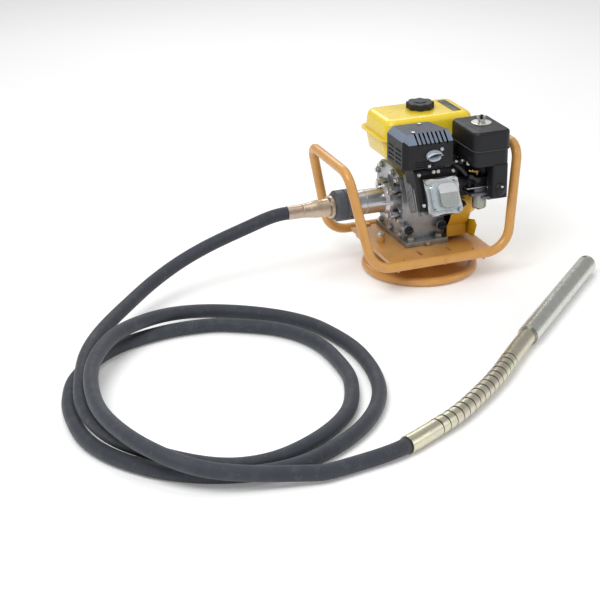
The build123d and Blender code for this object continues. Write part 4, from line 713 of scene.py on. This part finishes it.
def slab(bm, outline, z0, z1, place, edge=0.0):
    """Outline raised from z0 to z1 in the frame place, with its top edge eased."""
    rings = [(z0, 0.0), (z1 - edge, 0.0)]
    if edge:
        rings += [(z1 - 0.3 * edge, 0.3 * edge), (z1, edge)]
    cx = sum(p[0] for p in outline) / len(outline)
    cy = sum(p[1] for p in outline) / len(outline)
    made = []
    for z, inset in rings:
        ring = []
        for x, y in outline:
            far = math.hypot(x - cx, y - cy) or 1.0
            k = 1 - inset / far
            at = place @ Vector((cx + (x - cx) * k, cy + (y - cy) * k, z))
            ring.append(bm.verts.new(at * MM))
        made.append(ring)
    count = len(outline)
    for low, high in zip(made, made[1:]):
        for i in range(count):
            j = (i + 1) % count
            bm.faces.new((low[i], low[j], high[j], high[i]))
    bm.faces.new(made[0][::-1])
    bm.faces.new(made[-1])


def bolt(bm, at, z, r=5.0, h=4.0, washer=True, phase=0.3):
    """Flanged hexagon head standing on a face."""
    place = axes(at, z)
    if washer:
        slab(bm, disc(r * 1.35), -0.2, 1.2, place, 0.4)
    slab(bm, disc(r, 6, phase), 0.0, h, place, 0.8)


def bead(bm, points, r, sides=8, wobble=0.0, closed=False):
    """Tube through points, for welds, seams, rods and rubber pipes."""
    pts = np.asarray(points, float)
    if closed:
        pts = np.vstack([pts, pts[:1]])
    i = np.arange(len(pts))
    radii = r * (1 + wobble * np.sin(i * 1.9) * np.cos(i * 0.7))
    tube(bm, pts * MM, radii * MM, sides)


def sheet(bm, grid, t):
    """Closed thin sheet: a grid of points (rows of columns) given a thickness."""
    g = np.asarray(grid, float)
    du = np.gradient(g, axis=0)
    dv = np.gradient(g, axis=1)
    n = np.cross(du, dv)
    n /= np.linalg.norm(n, axis=2)[:, :, None]
    faces = []
    for side in (0.5, -0.5):
        layer = g + n * t * side
        faces.append([[bm.verts.new(Vector(q) * MM) for q in row] for row in layer])
    top, low = faces
    rows, cols = len(top), len(top[0])
    for i in range(rows - 1):
        for j in range(cols - 1):
            bm.faces.new((top[i][j], top[i][j + 1], top[i + 1][j + 1], top[i + 1][j]))
            bm.faces.new((low[i][j], low[i + 1][j], low[i + 1][j + 1], low[i][j + 1]))
    for i in range(rows - 1):
        bm.faces.new((top[i][0], top[i + 1][0], low[i + 1][0], low[i][0]))
        bm.faces.new((top[i][-1], low[i][-1], low[i + 1][-1], top[i + 1][-1]))
    for j in range(cols - 1):
        bm.faces.new((top[0][j], low[0][j], low[0][j + 1], top[0][j + 1]))
        bm.faces.new((top[-1][j], top[-1][j + 1], low[-1][j + 1], low[-1][j]))


def curve_through(points, step=2.0):
    """Smooth path through a few points."""
    p = np.asarray(points, float)
    return clamped_spline(p, p[1] - p[0], p[-1] - p[-2], step)


# -------------------------------------------------------- engine dressing
head = axes(cylinder_base, cylinder_z)


def on_head(x, y, z):
    return head @ Vector((x, y, z))


# black plate behind the carburettor, with pressed ribs and its bolts
bm = bmesh.new()
plate = axes((0, -77, 0), (0, -1, 0))
outline = [
    (57, -207), (60, -204), (90, -204), (118, -219), (148, -219),
    (151, -222), (151, -296), (148, -299), (69, -299), (66, -296), (66, -291), (57, -279),
]
slab(bm, [(x, -z) for x, z in outline][::-1], 0, 2, plate, 0.5)
beside_guard = [(46, 258), (92, 258), (92, 298), (69, 298), (69, 334), (37, 334), (37, 303), (46, 299)]
slab(bm, beside_guard, -17, -15.4, plate, 0.5)
for z in (238, 262, 286):
    slab(bm, [(88 + x, z + y) for x, y in rounded(46, 7, 3.4)], 1.9, 3.6, plate, 1.2)
piece("intake_baffle", bm, "shroud_black")
bm = bmesh.new()
for x, z in ((64, 214), (73, 292), (114, 292)):
    bolt(bm, (x, -79, z), (0, -1, 0), 4.2, 3.6)
piece("baffle_bolts", bm, "bolt")

# drooping hood over the exhaust, with a scooped lip under it
spout_x = -19
hood_y = -112.5
lip_y = -113.5
bm = bmesh.new()
rows = []
for i in range(11):
    t = i / 10
    row = []
    for j in range(29):
        a = math.radians(-8 + 196 * j / 28)
        x = spout_x + (19 + t) * math.cos(a)
        z = 332.5 + (12.5 - 4.0 * t) * math.sin(a) - 3.0 * t * t + 2.2 * t * math.cos(a)
        row.append((x, hood_y - t * (12.0 + 3.0 * max(math.sin(a), 0)), z))
    rows.append(row)
sheet(bm, rows, 1.6)
rows = []
for i in range(9):
    t = i / 8
    row = []
    for j in range(25):
        across = 2 * j / 24 - 1
        x = spout_x + 16.8 * across * (1 - 0.10 * t * t)
        z = 328.0 - 6.0 * t**2.2 + 3.0 * abs(across) ** 3 + 2.0 * across
        row.append((x, lip_y - 17.0 * t * (1 - 0.25 * across * across), z))
    rows.append(row)
sheet(bm, rows, 1.8)
piece("outlet_spout", bm, "outlet")
# dark sheets behind the guard's slots and louvres: painted shade seen through the openings
bm = bmesh.new()
slab(bm, rounded(56, 16.5, 2), 0, 1.2, axes((-42, -110.6, 311.2), (0, -1, 0)), 0.3)
slab(bm, rounded(82, 46, 2), 0, 1.0, axes((-92.8, -59, 329), (-1, 0, 0), (0, 1, 0)), 0.3)
piece("guard_slot_shade", bm, "shroud_black")
bm = bmesh.new()
bolt(bm, (2.5, -115, 345), (0, -1, 0), 3.6, 3.2)
bolt(bm, (-30, -115, 306), (0, -1, 0), 3.2, 3.0)
piece("spout_bolts", bm, "bolt")

# brackets and bolts between head, guard and air cleaner
bm = bmesh.new()
slab(bm, rounded(40, 14, 4), 0, 2.4, axes((52, -110, 304), (0, 0, 1)), 0.5)
slab(bm, rounded(40, 12, 4), 0, 2.4, axes((-14, -112, 296.5), (0, 0.35, 1)), 0.5)
piece("intake_brackets", bm, "shroud_black")
bm = bmesh.new()
bolt(bm, (44, -112, 306.4), (0, -0.3, 1), 3.6, 3.4)
bolt(bm, (60, -112, 306.4), (0, -0.3, 1), 3.6, 3.4)
bolt(bm, (72, -118, 300.5), (0, -1, 0), 4.0, 3.6)
bolt(bm, (-63.8, -106, 256), (-1, 0, 0), 4.4, 4.0)
bolt(bm, (-20, -118, 291), (0, -1, 0.2), 3.4, 3.6)
bolt(bm, (-8, -118, 291), (0, -1, 0.2), 3.4, 3.6)
piece("bracket_bolts", bm, "bolt")

# brass inlet with its hexagon on the carburettor
bm = bmesh.new()
inlet = axes((74, -117, 281), (1, 0.03, -0.20), (0, 0, 1))
slab(bm, disc(2.6, 20), 0, 9, inlet, 0.8)
slab(bm, disc(4.4, 6, 0.2), 8.5, 14, inlet, 0.8)
slab(bm, disc(3.2, 20), 13.5, 19, inlet, 0.8)
slab(bm, disc(5.4, 6, 0.5), 18.5, 26, inlet, 1.2)
stem = axes((97, -116.5, 262.5), (0, 0, 1))
slab(bm, disc(3.0, 16), -1, 14, stem, 0.5)
piece("brass_inlet", bm, "brass")

# rubber breather pipe and fuel pipe
bm = bmesh.new()
breather_run = (
    (40, -106, 300), (52, -116, 290), (63, -121, 276),
    (70, -112, 270), (74, -90, 273), (76, -78, 274),
)
fuel_run = (
    (132, -112, 222), (140, -98, 226), (146, -82, 240), (148, -60, 262),
    (148, -30, 282), (146, -6, 294), (142, 14, 301),
)
bead(bm, curve_through(breather_run), 4.4, 14)
bead(bm, curve_through(fuel_run), 3.4, 12)
piece("rubber_pipes", bm, "rubber")

# ball end under the resonator box
bm = bmesh.new()
ball = bmesh.ops.create_uvsphere(bm, u_segments=28, v_segments=18, radius=1.0)
bmesh.ops.scale(bm, vec=(0.0155, 0.012, 0.0175), verts=ball["verts"])
bmesh.ops.translate(bm, vec=(0.138, -0.1585, 0.2385), verts=ball["verts"])
slab(bm, disc(9.5, 28), 0, 4.5, axes((138, -166, 243.5), (0, -1, 0.12)), 1.2)
piece("resonator_ball", bm, "plastic")
bm = bmesh.new()
slab(bm, disc(4.2, 24), 0, 2.2, axes((139, -168, 248.5), (0.1, -1, 0.35)), 1.1)
piece("resonator_rivet", bm, "bolt")

# black sheet round the left and top of the head's face
bm = bmesh.new()
head_sheet = [
    (-57, -54), (-39.6, -54), (-39.6, 22.4), (53, 22.4),
    (53, 40), (46, 46), (-52, 46), (-57, 41),
]
slab(bm, head_sheet, head_top + 0.3, head_top + 2.0, head, 0.5)
slab(bm, [(-57, -54), (-55.4, -54), (-55.4, 46), (-57, 46)], head_top - 9, head_top + 0.8, head)
piece("head_sheet", bm, "shroud_black")
bm = bmesh.new()
for x, y in ((-47, -40), (-47, 34), (44, 34)):
    bolt(bm, on_head(x, y, head_top + 2.0), cylinder_z, 3.4, 3.0)
piece("head_sheet_bolts", bm, "bolt")

# thin flange plate between the carburettor's halves
bm = bmesh.new()
slab(bm, rounded(66, 43, 3), 0, 2.2, axes((100, -103.5, 236), (0, 0, 1)), 0.5)
piece("carb_plate", bm, "hub_ring")

# gasket line round the valve cover, and a paler bead round the air cleaner's lid seam as a painted
# highlight
bm = bmesh.new()
shell = [(cover_at[0] + x, cover_at[1] + y) for x, y in rounded(cover_w + 1.2, cover_w + 1.2, 12.5)]
slab(bm, shell, head_top - 0.9, head_top + 0.5, head)
piece("cover_gasket", bm, "gasket")
bm = bmesh.new()
rim = [(116 + x, -91.5 + y, 340.4) for x, y in rounded(98.6, 141.6, 18.3, 8)]
bead(bm, rim, 1.3, 10, closed=True)
piece("lid_rim", bm, "lid_rim_highlight", "air_lid")

# blank label on the tank
bm = bmesh.new()
label = axes((109.5, 74, 388), (0, 0, 1))
slab(bm, rounded(22, 94, 2.5), -0.4, 0.9, label, 0.25)
piece("tank_label", bm, "label")
bm = bmesh.new()
for y in (-40, -25.5, -11, 3.5, 18, 32.5):
    slab(bm, [(x, y + 5 + b) for x, b in rounded(17, 9.5, 1.2)], 0.8, 1.15, label, 0.1)
piece("tank_label_fields", bm, "label_fields")

# weld beads on the carrying frame
rail_y = 145
rail_z = 72
weld_r = 12.2
bm = bmesh.new()
for side in (-1, 1):
    ring = []
    for a in np.linspace(0, 2 * math.pi, 40)[:-1]:
        y = side * rail_y + weld_r * math.cos(a)
        ring.append((0.8 * math.sin(3 * a), y, rail_z + weld_r * math.sin(a)))
    bead(bm, ring, 1.5, 8, 0.22, True)
piece("rail_welds", bm, "weld")

# dark openings under the guard's slits
guard_path = clamped_spline([*guard_points, poker_base - neck_l * poker_dir], guard_lead, poker_dir, 1.0)
straight = poker_base - np.linspace(neck_l, 0, neck_l + 1)[:, None] * poker_dir
guard_path = np.vstack([guard_path, straight])
far = np.r_[0, np.cumsum(np.linalg.norm(np.diff(guard_path, axis=0), axis=1))]
slits = 16
first_slit, slit_share = 0.16, 0.60
slit_half_turn = 118
shadow_r = 19.5
bm = bmesh.new()
for slit in range(slits):
    at = far[-1] * (first_slit + slit_share * slit / (slits - 1))
    i = int(np.searchsorted(far, at))
    t = Vector(guard_path[i] - guard_path[i - 1]).normalized()
    t = Matrix.Rotation(math.radians(8), 3, "Z") @ t
    place = axes(guard_path[i], t, (0, 0, 1))
    arc = []
    for k in range(35):
        a = math.radians(-slit_half_turn + 2 * slit_half_turn * k / 34)
        width = 2.1 * math.sqrt(max(1 - (a / math.radians(slit_half_turn + 1)) ** 2, 0.02))
        edge = (shadow_r * math.cos(a), shadow_r * math.sin(a))
        arc.append([place @ Vector((*edge, w)) for w in (-width, width)])
    sheet(bm, arc, 0.3)
piece("slit_shadows", bm, "gasket")


# ------------------------------------------------------------------ stage
def stage_floor():
    bm = bmesh.new()
    bmesh.ops.create_grid(bm, x_segments=2, y_segments=2, size=30.0)
    mesh = bpy.data.meshes.new("floor")
    bm.to_mesh(mesh)
    bm.free()
    floor = bpy.data.objects.new("floor", mesh)
    bpy.context.scene.collection.objects.link(floor)
    k = Look("floor_pale")
    tone = k.mix(k.ramp(k.noise(1.5, 3), (0.3, 0.0), (0.8, 1.0)), (0.90, 0.90, 0.90), (0.93, 0.93, 0.93))
    k.set(Base_Color=tone, Roughness=0.9, Emission_Color=(1.0, 1.0, 1.0), Emission_Strength=0.16)
    mesh.materials.append(k.m)


def soft_lamp(name, at, aim, size, power, colour=(1, 1, 1)):
    data = bpy.data.lights.new(name, "AREA")
    data.shape = "RECTANGLE"
    data.size, data.size_y = size
    data.energy = power
    data.color = colour
    lamp = bpy.data.objects.new(name, data)
    lamp.location = at
    lamp.rotation_euler = (Vector(aim) - Vector(at)).to_track_quat("-Z", "Y").to_euler()
    bpy.context.scene.collection.objects.link(lamp)


stage_floor()
aim = (-0.30, -0.30, 0.10)
soft_lamp("key", (-1.8, -1.6, 2.6), aim, (1.6, 1.2), 52)
soft_lamp("fill", (2.6, -2.2, 1.4), aim, (1.6, 1.6), 16)
soft_lamp("back", (0.4, 2.6, 2.2), aim, (2.2, 1.2), 26)
soft_lamp("top", (-0.4, -0.2, 3.2), aim, (2.2, 2.2), 22)

world = bpy.data.worlds.new("studio")
bpy.context.scene.world = world
world.use_nodes = True
world.node_tree.nodes["Background"].inputs["Color"].default_value = (1.0, 1.0, 1.0, 1.0)
world.node_tree.nodes["Background"].inputs["Strength"].default_value = 0.42
bpy.context.scene.view_settings.view_transform = "Standard"

# ----------------------------------------------------------------- camera
turn = math.radians(-20.264)
rise = math.radians(23.703)
roll = math.radians(-1.008)
target = Vector((-0.4344, -0.300, 0.100))
distance = 3.6228
frame_px = 600
focal_px = 1599.04
back = Vector((math.sin(turn) * math.cos(rise), -math.cos(turn) * math.cos(rise), math.sin(rise)))
right = Vector((math.cos(turn), math.sin(turn), 0))
up = back.cross(right)
cam_right = math.cos(roll) * right + math.sin(roll) * up
cam_up = -math.sin(roll) * right + math.cos(roll) * up
lens = bpy.data.cameras.new("camera")
lens.sensor_width = 36.0
lens.lens = lens.sensor_width * focal_px / frame_px
camera = bpy.data.objects.new("camera", lens)
place = Matrix((cam_right, cam_up, back)).transposed().to_4x4()
place.translation = target + distance * back
camera.matrix_world = place
bpy.context.scene.collection.objects.link(camera)
bpy.context.scene.camera = camera
